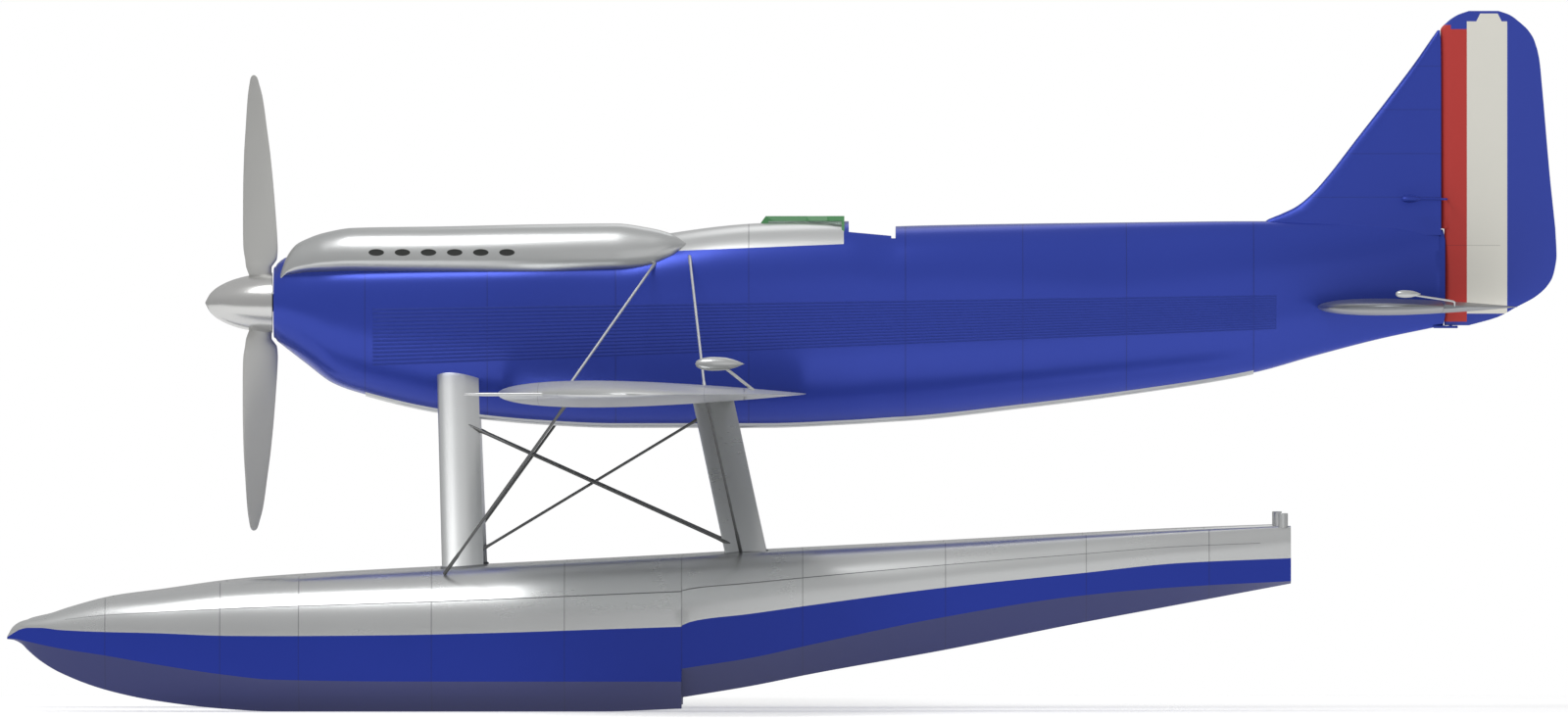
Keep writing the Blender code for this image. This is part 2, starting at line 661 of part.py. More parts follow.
def hollow_solid(name, surface, tip, half_span, side, hollow):
    """The space between the spars of a surface, open at its root."""
    shares = np.linspace(hollow["first"], hollow["last"], 6)
    rings = []
    for y in np.linspace(0.0, hollow["outer"], 4):
        lead, trail = plan_edges(surface, tip, half_span, y)
        chord = trail - lead
        x = x_of(lead) + shares * chord
        half = thickness_at(shares, surface["thickness"]) * chord - hollow["skin"]
        upper = [(px, side * y, surface["height"] + h) for px, h in zip(x, half)]
        lower = [(px, side * y, surface["height"] - h) for px, h in zip(x, half)]
        rings.append(upper + lower[::-1])
    return loft(name, rings)


def hinge_half(surface, tip, half_span, y, hinge):
    """Half thickness of a surface at its hinge line."""
    lead, trail = plan_edges(surface, tip, half_span, y)
    share = min(0.9, (hinge - lead) / (trail - lead))
    half = thickness_at(np.array([share]), surface["thickness"])[0] * (trail - lead)
    return max(0.004, float(half))


def flap_ring(surface, tip, half_span, y, hinge):
    """A moving surface's section: a round nose about the hinge, then on to the trailing edge."""
    _, trail = plan_edges(surface, tip, half_span, y)
    radius = hinge_half(surface, tip, half_span, y, hinge)
    centre = x_of(hinge), surface["height"]
    angles = np.radians([90, 126, 162, 198, 234, 270])
    nose = [(centre[0] + radius * math.cos(a), y, centre[1] + radius * math.sin(a)) for a in angles]
    edge = x_of(trail)
    return nose + [(edge, y, centre[1] - EDGE_HALF), (edge, y, centre[1] + EDGE_HALF)]


def flap_room(name, surface, tip, half_span, hinge, spans):
    """The space a moving surface needs: its nose circle with a gap, and everything aft."""
    rings = []
    for y in spans:
        radius = hinge_half(surface, tip, half_span, y, hinge) + RUNNING_GAP
        centre = x_of(hinge), surface["height"]
        angles = np.radians([90, 117, 144, 171, 189, 216, 243, 270])
        nose = [(centre[0] + radius * math.cos(a), y, centre[1] + radius * math.sin(a)) for a in angles]
        far = x_of(surface["trail"]) + 0.2
        rings.append(nose + [(far, y, centre[1] - radius), (far, y, centre[1] + radius)])
    return loft(name, rings)


def make_wings():
    half_span = SPAN / 2
    tip = WING_TIP
    for name, side in SIDES:
        rings = [section_ring(WING, tip, half_span, side * y) for y in WING_SPANWISE]
        wing = loft(f"wing_{name}", rings, "silver_skin")
        inside = hollow_solid(f"wing_inside_{name}", WING, tip, half_span, side, WING_HOLLOW)
        cut(wing, BODY_CUT, inside)
        inner, outer, hinge = AILERON["inner"], AILERON["outer"], AILERON["hinge"]
        room_spans = [side * y for y in (inner, 2.75, 3.25, outer)]
        cut(wing, flap_room(f"aileron_room_{name}", WING, tip, half_span, hinge, room_spans))

        spans = [side * y for y in (inner + RUNNING_GAP, 2.75, 3.25, outer - RUNNING_GAP)]
        rings = [flap_ring(WING, tip, half_span, y, hinge) for y in spans]
        aileron = loft(f"aileron_{name}", rings, "silver_skin")
        ends = ((inner - 0.020, inner + 0.03), (outer - 0.03, outer + 0.020))
        for i, (first, second) in enumerate(ends):
            pin_ends = [(x_of(hinge), side * y, WING["height"]) for y in (first, second)]
            bore_ends = [(x_of(hinge), side * y, WING["height"]) for y in (first - 0.001, second + 0.001)]
            join(aileron, rod(f"aileron_pin_{name}_{i}", *pin_ends, PIN_RADIUS["flap"], 12))
            cut(wing, rod(f"aileron_bore_{name}_{i}", *bore_ends, PIN_RADIUS["flap"] + PIN_GAP, 16))
        make_aileron_balance(name, side, hinge)


def make_aileron_balance(name, side, hinge):
    """A streamlined weight carried ahead of the hinge on an arm from the aileron."""
    balance = AILERON_BALANCE
    y = side * balance["span"]
    nose = (x_of(balance["nose"]), y, balance["height"])
    tail = (x_of(balance["tail"]), y, balance["height"])
    weight = teardrop(f"aileron_balance_{name}", nose, tail, balance["radius"], "silver_skin")
    foot = Vector((x_of(hinge) + 0.045, y, WING["height"] + 0.004))
    head = Vector((x_of(balance["nose"]) + 0.14, y, balance["height"]))
    join(weight, rod(f"aileron_arm_{name}", foot, head, 0.009, 8))
    half = hinge_half(WING, WING_TIP, SPAN / 2, y, hinge)
    spans = [side * (balance["span"] + shift) for shift in (-0.1, 0.1)]
    rings = [flap_ring(WING, WING_TIP, SPAN / 2, s, hinge) for s in spans]
    room = loft(f"aileron_seat_{name}", rings)
    room.scale = (1.0, 1.0, (half + SEAT * 2) / half)
    room.location.z = WING["height"] * (1 - room.scale.z)
    cut(weight, room)


def make_pitot():
    """The air-speed head on a boom ahead of the port wing."""
    y = -PITOT["span"]
    nose = (x_of(PITOT["nose"]), y, WING["height"])
    foot = (x_of(PITOT["foot"]), y, WING["height"])
    pitot = rod("pitot_head", nose, foot, PITOT["radius"], 10, "silver_skin")
    cut(pitot, WING_CUT["left"])


def make_tailplanes():
    tip, hinge = TAILPLANE_TIP, ELEVATOR["hinge"]
    for name, side in SIDES:
        rings = [section_ring(TAILPLANE, tip, TAIL_HALF_SPAN, side * y) for y in TAIL_SPANWISE]
        tailplane = loft(f"tailplane_{name}", rings, "silver_skin")
        spans = [side * y for y in (0.0, 0.45, 0.75, 0.95, 1.08, 1.16, 1.3)]
        room = flap_room(f"elevator_room_{name}", TAILPLANE, tip, TAIL_HALF_SPAN, hinge, spans)
        inside = hollow_solid(f"tailplane_inside_{name}", TAILPLANE, tip, TAIL_HALF_SPAN, side, TAIL_HOLLOW)
        cut(tailplane, BODY_CUT, room, inside)

        inner = ELEVATOR["inner"]
        slope = math.tan(math.radians(ELEVATOR["sweep"]))
        spans = [side * y for y in (inner, 0.45, 0.75, 0.95, 1.08, ELEVATOR["outer"])]
        rings = [flap_ring(TAILPLANE, tip, TAIL_HALF_SPAN, y, hinge) for y in spans]
        rings[0] = [(x, side * (inner + max(0.0, x - x_of(hinge)) * slope), z) for x, _, z in rings[0]]
        elevator = loft(f"elevator_{name}", rings, "silver_skin")
        pin_ends = [(x_of(hinge), side * y, TAILPLANE["height"]) for y in (0.024, inner + 0.03)]
        join(elevator, rod(f"elevator_pin_{name}", *pin_ends, PIN_RADIUS["flap"], 12))
        make_elevator_balance(name, side, hinge)


def make_elevator_balance(name, side, hinge):
    """A weight just outboard of the tailplane tip, on an arm from the elevator's end."""
    balance = ELEVATOR_BALANCE
    y = side * (TAIL_HALF_SPAN + 0.040)
    nose = (x_of(balance["nose"]), y, balance["height"])
    tail = (x_of(balance["tail"]), y, balance["height"])
    weight = teardrop(f"elevator_balance_{name}", nose, tail, balance["radius"], "silver_skin")
    head = (x_of(balance["nose"]) + 0.06, y, balance["height"])
    elbow = (x_of(hinge) + 0.050, y, TAILPLANE["height"] + 0.030)
    tip = ELEVATOR["outer"]
    foot = (x_of(hinge) + 0.050, side * (tip - 0.02), TAILPLANE["height"])
    join(
        weight,
        rod(f"elevator_arm_{name}", head, elbow, 0.0055, 8),
        rod(f"elevator_foot_{name}", elbow, foot, 0.0055, 8),
    )
    inboard, outboard = sorted((side * (tip - 0.10), side * (tip + SEAT)))
    cut(weight, block(f"elevator_end_{name}", (foot[0] - 0.1, inboard, 2.2), (foot[0] + 0.1, outboard, 2.4)))


def fin_ring(height, lead, half):
    """A fin section: a rounded nose that widens to a square trailing face."""
    chord = FIN_TRAIL - lead
    shape = ((0.0, 0.12), (0.03, 0.35), (0.12, 0.68), (0.30, 0.90), (0.55, 1.0), (1.0, 1.0))
    right = [(x_of(lead + chord * s), half * w, height) for s, w in shape]
    left = [(x, -y, z) for x, y, z in reversed(right)]
    return right + left


def rudder_cove(name, radius, low, high):
    """A hollow round the rudder's hinge line, in which its nose turns."""
    hinge = x_of(RUDDER_HINGE)
    return rod(name, (hinge, 0, low), (hinge, 0, high), radius, 32)


def make_fin():
    fin = loft("fin", [fin_ring(*row) for row in FIN], "blue_paint")
    cut(fin, BODY_CUT, rudder_cove("fin_cove", RUDDER_COVE["high"], 2.6, 4.0))


def rudder_ring(height, front, trail, half):
    """A rudder section: an elliptical nose ahead of the hinge, then flat sides to the edge."""
    reach = max(0.012, RUDDER_HINGE - front)
    shoulder = front + reach
    shape = ((0.0, 0.30), (0.15, 0.62), (0.5, 0.92), (1.0, 1.0))
    right = [(x_of(front + reach * s), half * w, height) for s, w in shape]
    middle = shoulder + (trail - shoulder) * 0.5
    right += [(x_of(middle), half * 0.62, height), (x_of(trail), min(half, 0.004), height)]
    left = [(x, -y, z) for x, y, z in reversed(right)]
    return right + left


def make_rudder():
    rudder = loft("rudder", [rudder_ring(*row) for row in RUDDER], "rudder_paint")
    hinge = x_of(RUDDER_HINGE)
    join(rudder, rod("rudder_pin", (hinge, 0, HEEL["low"] + 0.001), (hinge, 0, 2.25), PIN_RADIUS["rudder"], 12))
    balance = RUDDER_BALANCE
    for name, side in SIDES:
        y, z = side * balance["offset"], balance["height"]
        nose, tail = (x_of(balance["nose"]), y, z), (x_of(balance["tail"]), y, z)
        weight = teardrop(f"rudder_balance_{name}", nose, tail, balance["radius"], "blue_paint")
        head = (x_of(balance["nose"]) + 0.045, y, z)
        elbow = (x_of(balance["foot"]), side * 0.120, z)
        foot = (x_of(balance["foot"]), side * 0.020, z)
        join(
            weight,
            rod(f"rudder_arm_{name}", head, elbow, 0.006, 8),
            rod(f"rudder_foot_{name}", elbow, foot, 0.006, 8),
        )
        rings = [[(px, py + math.copysign(SEAT, py), pz) for px, py, pz in rudder_ring(*row)]
                 for row in RUDDER if 2.741 < row[0] < 3.6]
        cut(weight, loft(f"rudder_seat_{name}", rings))


# Floats, struts and wires

def float_ring(row, side, grow=0.0):
    """A float section: keel, chine, upright side, then an elliptical deck."""
    station, deck, side_top, chine, keel, half = row
    half = half + grow
    arc = np.radians(np.linspace(0, 90, 5))
    right = [(half, chine - grow)]
    right += [(half * math.cos(a), side_top + (deck + grow - side_top) * math.sin(a)) for a in arc]
    left = [(-y, z) for y, z in reversed(right[:-1])]
    points = [(0.0, keel - grow), *right, *left]
    return [(x_of(station), side * FLOAT_TRACK / 2 + y, z) for y, z in points]


def float_row(station):
    """The float's section at any station, between its neighbours in the table."""
    table = np.array(FLOAT)
    return tuple(np.interp(station, table[:, 0], column) for column in table.T)


def make_floats():
    for name, side in SIDES:
        rings = [float_ring(row, side) for row in FLOAT]
        hull = loft(f"float_{name}", rings, "silver_skin")
        hollow = FLOAT_HOLLOW
        inside = [float_row(s) for s in (hollow["front"], *(row[0] for row in FLOAT), hollow["rear"])
                  if hollow["front"] <= s <= hollow["rear"] and not 3.4 < s < 3.816]
        rings = [float_ring(row, side, -hollow["skin"]) for row in inside]
        drain = [(x_of(s), side * FLOAT_TRACK / 2, hollow["drain"]) for s in (hollow["rear"] - 0.1, 7.3)]
        cut(hull, loft(f"float_inside_{name}", rings), rod(f"drain_{name}", *drain, 0.006, 12))
        post = FLOAT_POST
        ends = [(x_of(post["station"]), side * FLOAT_TRACK / 2, z) for z in (0.95, post["top"])]
        mooring = rod(f"mooring_post_{name}", *ends, post["radius"], 16, "silver_skin")
        cut(mooring, FLOAT_CUT[name])


FLOAT_CUT = {
    name: loft(f"float_cut_{name}", [float_ring(row, side, SEAT) for row in FLOAT]) for name, side in SIDES
}


def strut_ring(centre, grow=0.0):
    """A streamlined strut section, level, about a point on the strut's line."""
    shares = ((0.0, 0.0), (0.05, 0.45), (0.16, 0.78), (0.36, 1.0), (0.62, 0.84), (0.85, 0.46), (1.0, 0.10))
    chord, half = STRUT_CHORD + 2 * grow, STRUT_THICKNESS / 2 + grow
    near = [(centre[0] + chord * (s - 0.5), centre[1] + half * w, centre[2]) for s, w in shares]
    far = [(x, 2 * centre[1] - y, z) for x, y, z in near[:0:-1]]
    return near + far


def strut_line(kind, side):
    return [(x_of(s), side * y, z) for s, y, z in STRUTS[kind]]


def strut_point(kind, side, share):
    """A point on a strut's axis, at a share of its length from the top."""
    upper, lower = map(Vector, strut_line(kind, side))
    return upper.lerp(lower, share)


WING_CUT = {
    name: loft(
        f"wing_cut_{name}",
        [section_ring(WING, WING_TIP, SPAN / 2, side * y, SEAT) for y in (0.0, *WING_SPANWISE[1:])],
    )
    for name, side in SIDES
}
STRUT_CUT = {
    (kind, name): loft(f"strut_cut_{kind}_{name}", [strut_ring(p, SEAT * 2) for p in strut_line(kind, side)])
    for kind in STRUTS
    for name, side in SIDES
}


def make_struts():
    for name, side in SIDES:
        for kind in STRUTS:
            rings = [strut_ring(point) for point in strut_line(kind, side)]
            strut = loft(f"{kind}_strut_{name}", rings, "silver_skin")
            cut(strut, BODY_CUT, FLOAT_CUT[name])
            if kind == "rear":
                cut(strut, WING_CUT[name])


def make_wires():
    for name, side in SIDES:
        for kind, ends in WING_WIRES.items():
            body, foot = ((x_of(s), side * y, z) for s, y, z in (ends["body"], ends["float"]))
            above, below = ((x_of(s), side * y, WING["height"]) for s, y in (ends["above"], ends["below"]))
            upper = rod(f"{kind}_upper_wire_{name}", body, above, WIRE_RADIUS, 8, "wire_steel")
            cut(upper, BODY_CUT, WING_CUT[name], FAIRING_CUT[name])
            lower = rod(f"{kind}_lower_wire_{name}", below, foot, WIRE_RADIUS, 8, "wire_steel")
            cut(lower, WING_CUT[name], FLOAT_CUT[name])
        for kind, (front, rear, offset) in STRUT_WIRES.items():
            start = strut_point("front", side, front) + Vector((0, side * offset, 0))
            end = strut_point("rear", side, rear) + Vector((0, side * offset, 0))
            wire = rod(f"strut_wire_{kind}_{name}", start, end, WIRE_RADIUS, 8, "wire_steel")
            cut(wire, STRUT_CUT["front", name], STRUT_CUT["rear", name])


# Cockpit

def make_cockpit():
    """What shows down the opening: floor, rear bulkhead, seat, panel and control column."""
    beyond = 0.5
    rows = [row for row in BODY if 3.7 < row[0] < 5.1]
    cabin = loft("cabin_inside", [body_ring(row, -SKIN - SEAT) for row in reversed(rows)])
    low = (x_of(FLOOR["front"]), -beyond, FLOOR["top"] - FLOOR["thickness"])
    high = (x_of(BULKHEAD["station"]) - SEAT, beyond, FLOOR["top"])
    floor = block("cockpit_floor", low, high, "cockpit_metal")
    boolean(floor, cabin, "INTERSECT")

    for name, plate, low in (("cabin_bulkhead", BULKHEAD, 1.5), ("instrument_panel", PANEL, PANEL["low"])):
        front = x_of(plate["station"])
        wall = block(name, (front, -beyond, low), (front + plate["thickness"], beyond, 2.9), "cockpit_metal")
        boolean(wall, cabin, "INTERSECT")

    pan, box, plate = SEAT_PAN, SEAT_BOX, SEAT_PAN["plate"]
    front, rear, half = x_of(pan["front"]), x_of(pan["rear"]), pan["half_width"]
    under = pan["top"] - plate
    seat = block("pilot_seat", (front, -half, under), (rear, half, pan["top"]), "leather")
    back = block("seat_back", (rear - plate, -half, under + 0.01), (rear, half, pan["back_top"]))
    legs = block(
        "seat_legs",
        (x_of(box["front"]), -box["half_width"], FLOOR["top"] + SEAT),
        (x_of(box["rear"]), box["half_width"], under + 0.01),
    )
    join(seat, back, legs)

    foot, boot_top = x_of(STICK["foot"]), STICK["boot_top"]
    grip = (x_of(STICK["head"]), 0, STICK["top"])
    stick = rod("control_column", (foot, 0, boot_top - 0.015), grip, STICK["radius"], 10, "cockpit_metal")
    boot_ends = (foot, 0, FLOOR["top"] + SEAT), (foot, 0, boot_top)
    join(stick, rod("stick_foot", *boot_ends, STICK["boot_radius"], 12))


def screen_hood(name, inset=0.0, paint=None, longer=0.0):
    """The windscreen's outside, or the same form smaller by its wall."""
    rings = []
    for i, (station, wide, narrow, top) in enumerate(SCREEN):
        shift = inset if i < 2 else 0.0
        wide, narrow, low = wide - inset, narrow - inset, SCREEN_FRAME["low"]
        points = ((wide, low), (narrow, top - inset), (-narrow, top - inset), (-wide, low))
        rings.append([(x_of(station) + shift, y, z) for y, z in points])
    if longer:
        rings.append([(x + longer, y, z) for x, y, z in rings[-1]])
    return loft(name, rings, paint)


def make_windscreen():
    """A low hood that widens aft: a green frame over clear panes, open to the rear."""
    wall, rail = SCREEN_FRAME["thickness"], SCREEN_FRAME["rail"]
    front, rear = x_of(SCREEN_FRAME["front"]), x_of(SCREEN_FRAME["rear"])
    top = SCREEN[-1][3]
    frame = screen_hood("windscreen_frame", paint="screen_green")
    side_panes = block("side_panes", (front, -0.3, 2.5), (rear, 0.3, top - rail))
    roof_rings = []
    for station, half in ROOF_PANE:
        corners = ((-half, 2.7), (half, 2.7), (half, 2.9), (-half, 2.9))
        roof_rings.append([(x_of(station), y, z) for y, z in corners])
    roof = loft("roof_pane", roof_rings)
    cut(frame, screen_hood("frame_inside", wall, longer=0.1), BODY_CUT, side_panes, roof)
    glass = screen_hood("windscreen_glass", wall + SEAT, "glass")
    cut(glass, screen_hood("glass_inside", wall + GLASS_THICKNESS, longer=0.1), BODY_CUT)


def make_belly_cooler():
    """The bare metal oil cooler let into the belly, a thin curved plate under the skin."""
    rings = []
    for row in BODY:
        if COOLER["front"] < row[0] < COOLER["rear"]:
            seat, face = (body_ring(row, grow)[COOLER["sides"]] for grow in (SEAT, COOLER["thickness"]))
            rings.append(np.concatenate([seat, face[::-1]]))
    loft("belly_cooler", rings, "silver_skin")


def make_intake():
    """The air scoop that lies in the valley between the cylinder banks."""
    rings = []
    shoulder, low = INTAKE_FOOT["shoulder"], INTAKE_FOOT["low"]
    for station, top, half in INTAKE:
        arc = np.radians(np.linspace(0, 180, 7))
        crown = [(half * math.cos(a), shoulder + (top - shoulder) * math.sin(a)) for a in arc]
        points = [*crown, (-half, low), (half, low)]
        rings.append([(x_of(station), y, z) for y, z in points])
    intake = loft("air_intake", rings, "silver_skin")
    mouth_ends = [(x_of(s), 0, INTAKE_MOUTH["height"]) for s in (INTAKE[0][0] - 0.05, INTAKE_MOUTH["depth"])]
    mouth = rod("intake_mouth", *mouth_ends, INTAKE_MOUTH["radius"], 14)
    cut(intake, mouth, BODY_CUT)


COWL, TAIL = make_fuselage()
fit_tail(TAIL)
make_firewall()
make_engine()
make_bank_fairings()
make_intake()
make_propeller()
make_wings()
make_pitot()
make_tailplanes()
make_fin()
make_rudder()
make_floats()
make_struts()
make_wires()
make_cockpit()
make_windscreen()
make_belly_cooler()
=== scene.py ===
# %% [markdown]
# # A racing floatplane
# The aeroplane is a single-seat monoplane on two long floats, painted blue, with bare
# metal on the floats' decks, the wings and the covers over the engine. The packed
# CAD model gives every piece its place. Its skins are flat facets, so the notebook
# draws smooth skins through the same section tables, paints them, and adds the small
# fittings that the solids leave out.

import math

import bmesh
import bpy
import numpy as np
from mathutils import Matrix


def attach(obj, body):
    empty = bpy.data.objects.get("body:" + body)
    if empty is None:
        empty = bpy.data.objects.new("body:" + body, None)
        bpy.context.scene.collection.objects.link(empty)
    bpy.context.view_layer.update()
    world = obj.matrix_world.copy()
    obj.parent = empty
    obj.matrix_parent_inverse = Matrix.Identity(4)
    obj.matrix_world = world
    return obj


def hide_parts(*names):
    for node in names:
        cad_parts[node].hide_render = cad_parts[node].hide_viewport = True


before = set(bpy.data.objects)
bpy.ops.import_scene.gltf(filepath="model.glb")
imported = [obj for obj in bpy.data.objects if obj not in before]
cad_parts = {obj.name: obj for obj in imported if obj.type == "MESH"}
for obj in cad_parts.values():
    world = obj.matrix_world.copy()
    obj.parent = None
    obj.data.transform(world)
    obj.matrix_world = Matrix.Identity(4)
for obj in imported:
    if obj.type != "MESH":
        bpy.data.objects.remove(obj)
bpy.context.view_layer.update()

# %% [markdown]
# Places along the aeroplane are stations, measured aft from the float bows, because
# that is how its lines were read. The model's origin is under the middle of the length.

# %% Stations and sides
LENGTH, SPAN, TRACK = 8.79, 9.14, 2.29
THRUST = 2.314
SIDES = (("left", -1), ("right", 1))
METRES_PER_PIXEL, PICTURE_WIDTH, PICTURE_MIDDLE = 0.005563, 1600, 800.2


def x_of(station):
    """Station aft of the float bows, less half the overall length."""
    return station - LENGTH / 2


def placed(points, side=1):
    """Points of (station, distance out, height) as points of the model, on one side."""
    return np.asarray(points, float) * (1, side, 1) - (LENGTH / 2, 0, 0)


def pixels(*places):
    """Places read off the picture, as model X: pixels from its middle times the scale."""
    return [(place - PICTURE_MIDDLE) * METRES_PER_PIXEL for place in places]


def added(name, data):
    """A new object in the scene."""
    thing = bpy.data.objects.new(name, data)
    bpy.context.scene.collection.objects.link(thing)
    return thing


print("overall:", LENGTH, "by", SPAN, "m")

# %% [markdown]
# The picture is a side view with no perspective at all. A camera with a long lens, far
# away on the port beam, comes close to that. Sizes are true on an upright plane between
# the fuselage and the near float, so that both stay within a few pixels of their place.

# %% Camera
TRUE_PLANE, EYE_LEVEL = -0.45, 1.9888
lens = bpy.data.cameras.new("abeam_camera")
lens.lens, lens.sensor_width, lens.clip_start, lens.clip_end = 760.0, 36.0, 5.0, 500.0
distance = PICTURE_WIDTH * METRES_PER_PIXEL * lens.lens / lens.sensor_width
camera = added("abeam_camera", lens)
camera.location = (-0.0011, TRUE_PLANE - distance, EYE_LEVEL)
camera.rotation_euler = (math.radians(90), 0, 0)
bpy.context.scene.camera = camera
print("camera distance", round(distance, 1), "m")

# %% [markdown]
# Finishes and backdrop are graphs of nodes. A node is made in one line: its settings,
# then for each input a value or the socket that feeds it.

# %% Nodes
def feed(tree, made, values):
    """Gives a node's inputs, by name or number, their values or the sockets that feed them."""
    for key, value in values.items():
        if isinstance(value, bpy.types.NodeSocket):
            tree.links.new(value, made.inputs[key])
        else:
            made.inputs[key].default_value = value
    return made


def node(tree, kind, values=(), **settings):
    """A new shader node. Its settings come first, as some of them change its inputs."""
    made = tree.nodes.new("ShaderNode" + kind)
    for key, value in settings.items():
        setattr(made, key, value)
    return feed(tree, made, dict(values))


def compute(tree, operation, *values):
    """A Math node's result; each value is a number or a socket."""
    return node(tree, "Math", enumerate(values), operation=operation).outputs[0]


def tinted(tree, factor, first, second):
    """A mix of two colours by a factor; each is a colour or a socket."""
    first, second = ((*c, 1.0) if isinstance(c, tuple) else c for c in (first, second))
    return node(tree, "Mix", {0: factor, 6: first, 7: second}, data_type="RGBA", clamp_factor=True).outputs[2]


def surface(name, values):
    """A material, its tree, and its principled shader with the given values."""
    material = bpy.data.materials.new(name)
    material.use_nodes = True
    tree = material.node_tree
    return material, tree, feed(tree, tree.nodes["Principled BSDF"], values)


print("node helpers ready")

# %% [markdown]
# A studio sweep of pale floor and a few large soft lamps light the metal evenly. The
# backdrop is white to the eye, while what lights the skin is darker low down, so that
# the round forms show.

# %% Floor, lamps and backdrop
FLOOR_HALF_X, FLOOR_HALF_Y = 16.0, 8.0


def studio_lamp(name, place, aim, size, watts):
    """A square lamp at a place, its -Z axis turned along the line to its aim."""
    lamp = bpy.data.lights.new(name, "AREA")
    lamp.shape, lamp.size, lamp.energy = "SQUARE", size, watts
    thing = added(name, lamp)
    thing.location = place
    x, y, z = np.subtract(aim, place)
    thing.rotation_euler = (math.atan2(math.hypot(x, y), -z), 0, math.atan2(x, -y) + math.pi)


studio_lamp("key_lamp", (-3.9, -7.4, 12.4), (-1.5, 0, 1.9), 5.0, 560)
studio_lamp("fill_lamp", (3.0, -12.0, 2.6), (1.0, 0, 2.0), 7.0, 60)
studio_lamp("far_lamp", (1.0, 7.0, 12.0), (0.0, 0, 1.8), 6.0, 90)

sheet = bpy.data.meshes.new("studio_floor")
sheet.from_pydata([(x * FLOOR_HALF_X, y * FLOOR_HALF_Y, 0) for x, y in ((-1, -1), (1, -1), (1, 1), (-1, 1))], [],
                  [(0, 1, 2, 3)])
sheet.materials.append(surface("pale_floor", {"Base Color": (0.86, 0.86, 0.86, 1), "Roughness": 0.9,
                                              "Emission Color": (1, 1, 1, 1), "Emission Strength": 0.4})[0])
added("studio_floor", sheet)

world = bpy.data.worlds.new("white_studio")
bpy.context.scene.world = world
world.use_nodes = True
tree = world.node_tree
tree.nodes.clear()
upward = node(tree, "SeparateXYZ", {0: node(tree, "TexCoord").outputs["Generated"]}).outputs["Z"]
ramp = node(tree, "ValToRGB", {"Fac": compute(tree, "MULTIPLY_ADD", upward, 0.5, 0.5)})
stops = ramp.color_ramp.elements
stops.new(0.52)
for stop, (position, value) in zip(stops, ((0.30, 0.40), (0.52, 0.46), (0.85, 0.60))):
    stop.position, stop.color = position, (value, value, value, 1)
lighting = node(tree, "Background", {"Color": ramp.outputs["Color"], "Strength": 1.0})
seen = node(tree, "Background", {"Color": (1, 1, 1, 1), "Strength": 1.0})
mix = node(tree, "MixShader", {"Fac": node(tree, "LightPath").outputs["Is Camera Ray"],
                               1: lighting.outputs[0], 2: seen.outputs[0]})
node(tree, "OutputWorld", {"Surface": mix.outputs[0]})
bpy.context.scene.view_settings.view_transform = "Standard"

# %% [markdown]
# Two effects turn up in nearly every finish. Painted and rolled sheet is never one
# even colour, so a slow drift and a fine grain break it up. Sheets meet in seams that
# show as thin dark lines. Each effect is a node group, built once and given its own
# numbers in every material.

# %% Node group: the drift and grain of sheet metal
def new_group(name, inputs, outputs):
    """An empty shader group. An input without a start value is a vector, one with four
    numbers a colour, and one with a single number a float."""
    group = bpy.data.node_groups.new(name, "ShaderNodeTree")
    kinds = {type(None): "NodeSocketVector", tuple: "NodeSocketColor", float: "NodeSocketFloat"}
    for label, value in inputs.items():
        socket = group.interface.new_socket(label, in_out="INPUT", socket_type=kinds[type(value)])
        if value is not None:
            socket.default_value = value
    for label, kind in outputs.items():
        group.interface.new_socket(label, in_out="OUTPUT", socket_type=kinds[kind])
    return group, group.nodes.new("NodeGroupInput").outputs, group.nodes.new("NodeGroupOutput")


def build_sheet_grain():
    """Slow noise drifts the colour, noise stretched along the sheet is its rolling grain."""
    group, given, result = new_group(
        "sheet_grain", {"Place": None, "Colour": (0.5, 0.5, 0.5, 1), "Drift": 0.1, "Roughness": 0.4,
                        "Grain Scale": 60.0, "Grain": 0.1},
        {"Colour": tuple, "Roughness": float, "Height": float})
    slow = node(group, "TexNoise", {"Vector": given["Place"], "Scale": 0.9, "Detail": 3.0})
    stretch = node(group, "Mapping", {"Vector": given["Place"], "Scale": (0.12, 1.0, 1.0)})
    fine = node(group, "TexNoise", {"Vector": stretch.outputs[0], "Scale": given["Grain Scale"], "Detail": 4.0})
    fine = fine.outputs["Fac"]
    centred = compute(group, "SUBTRACT", slow.outputs["Fac"], 0.5)
    gain = compute(group, "MULTIPLY_ADD", centred, given["Drift"], 1.0)
    scaled = node(group, "VectorMath", {0: given["Colour"], "Scale": gain}, operation="SCALE")
    swing = compute(group, "MULTIPLY", compute(group, "SUBTRACT", fine, 0.5), given["Grain"])
    rough = compute(group, "ADD", compute(group, "MULTIPLY_ADD", centred, 0.12, swing), given["Roughness"])
    feed(group, result, {"Colour": scaled.outputs[0], "Roughness": rough,
                         "Height": compute(group, "MULTIPLY", fine, given["Grain"])})
    return group


SHEET_GRAIN = build_sheet_grain()
print("group:", SHEET_GRAIN.name, len(SHEET_GRAIN.nodes), "nodes")

# %% Node group: one seam
def build_seam():
    """A seam is where a coordinate lies within a small width of its place."""
    inputs = {"Along": 0.0, "Place": 0.0, "Width": 0.003, "Before": 0.0}
    group, given, result = new_group("seam", inputs, {"Mask": float})
    hit = compute(group, "COMPARE", given["Along"], given["Place"], given["Width"])
    feed(group, result, {"Mask": compute(group, "MAXIMUM", hit, given["Before"])})
    return group


SEAM = build_seam()
print("group:", SEAM.name, len(SEAM.nodes), "nodes")

# %% [markdown]
# Sheets are held by rows of flush rivets on both sides of a seam. Each row is a
# distance test, so it costs no geometry: how far a point is from the row, and how far
# from the nearest step along it.

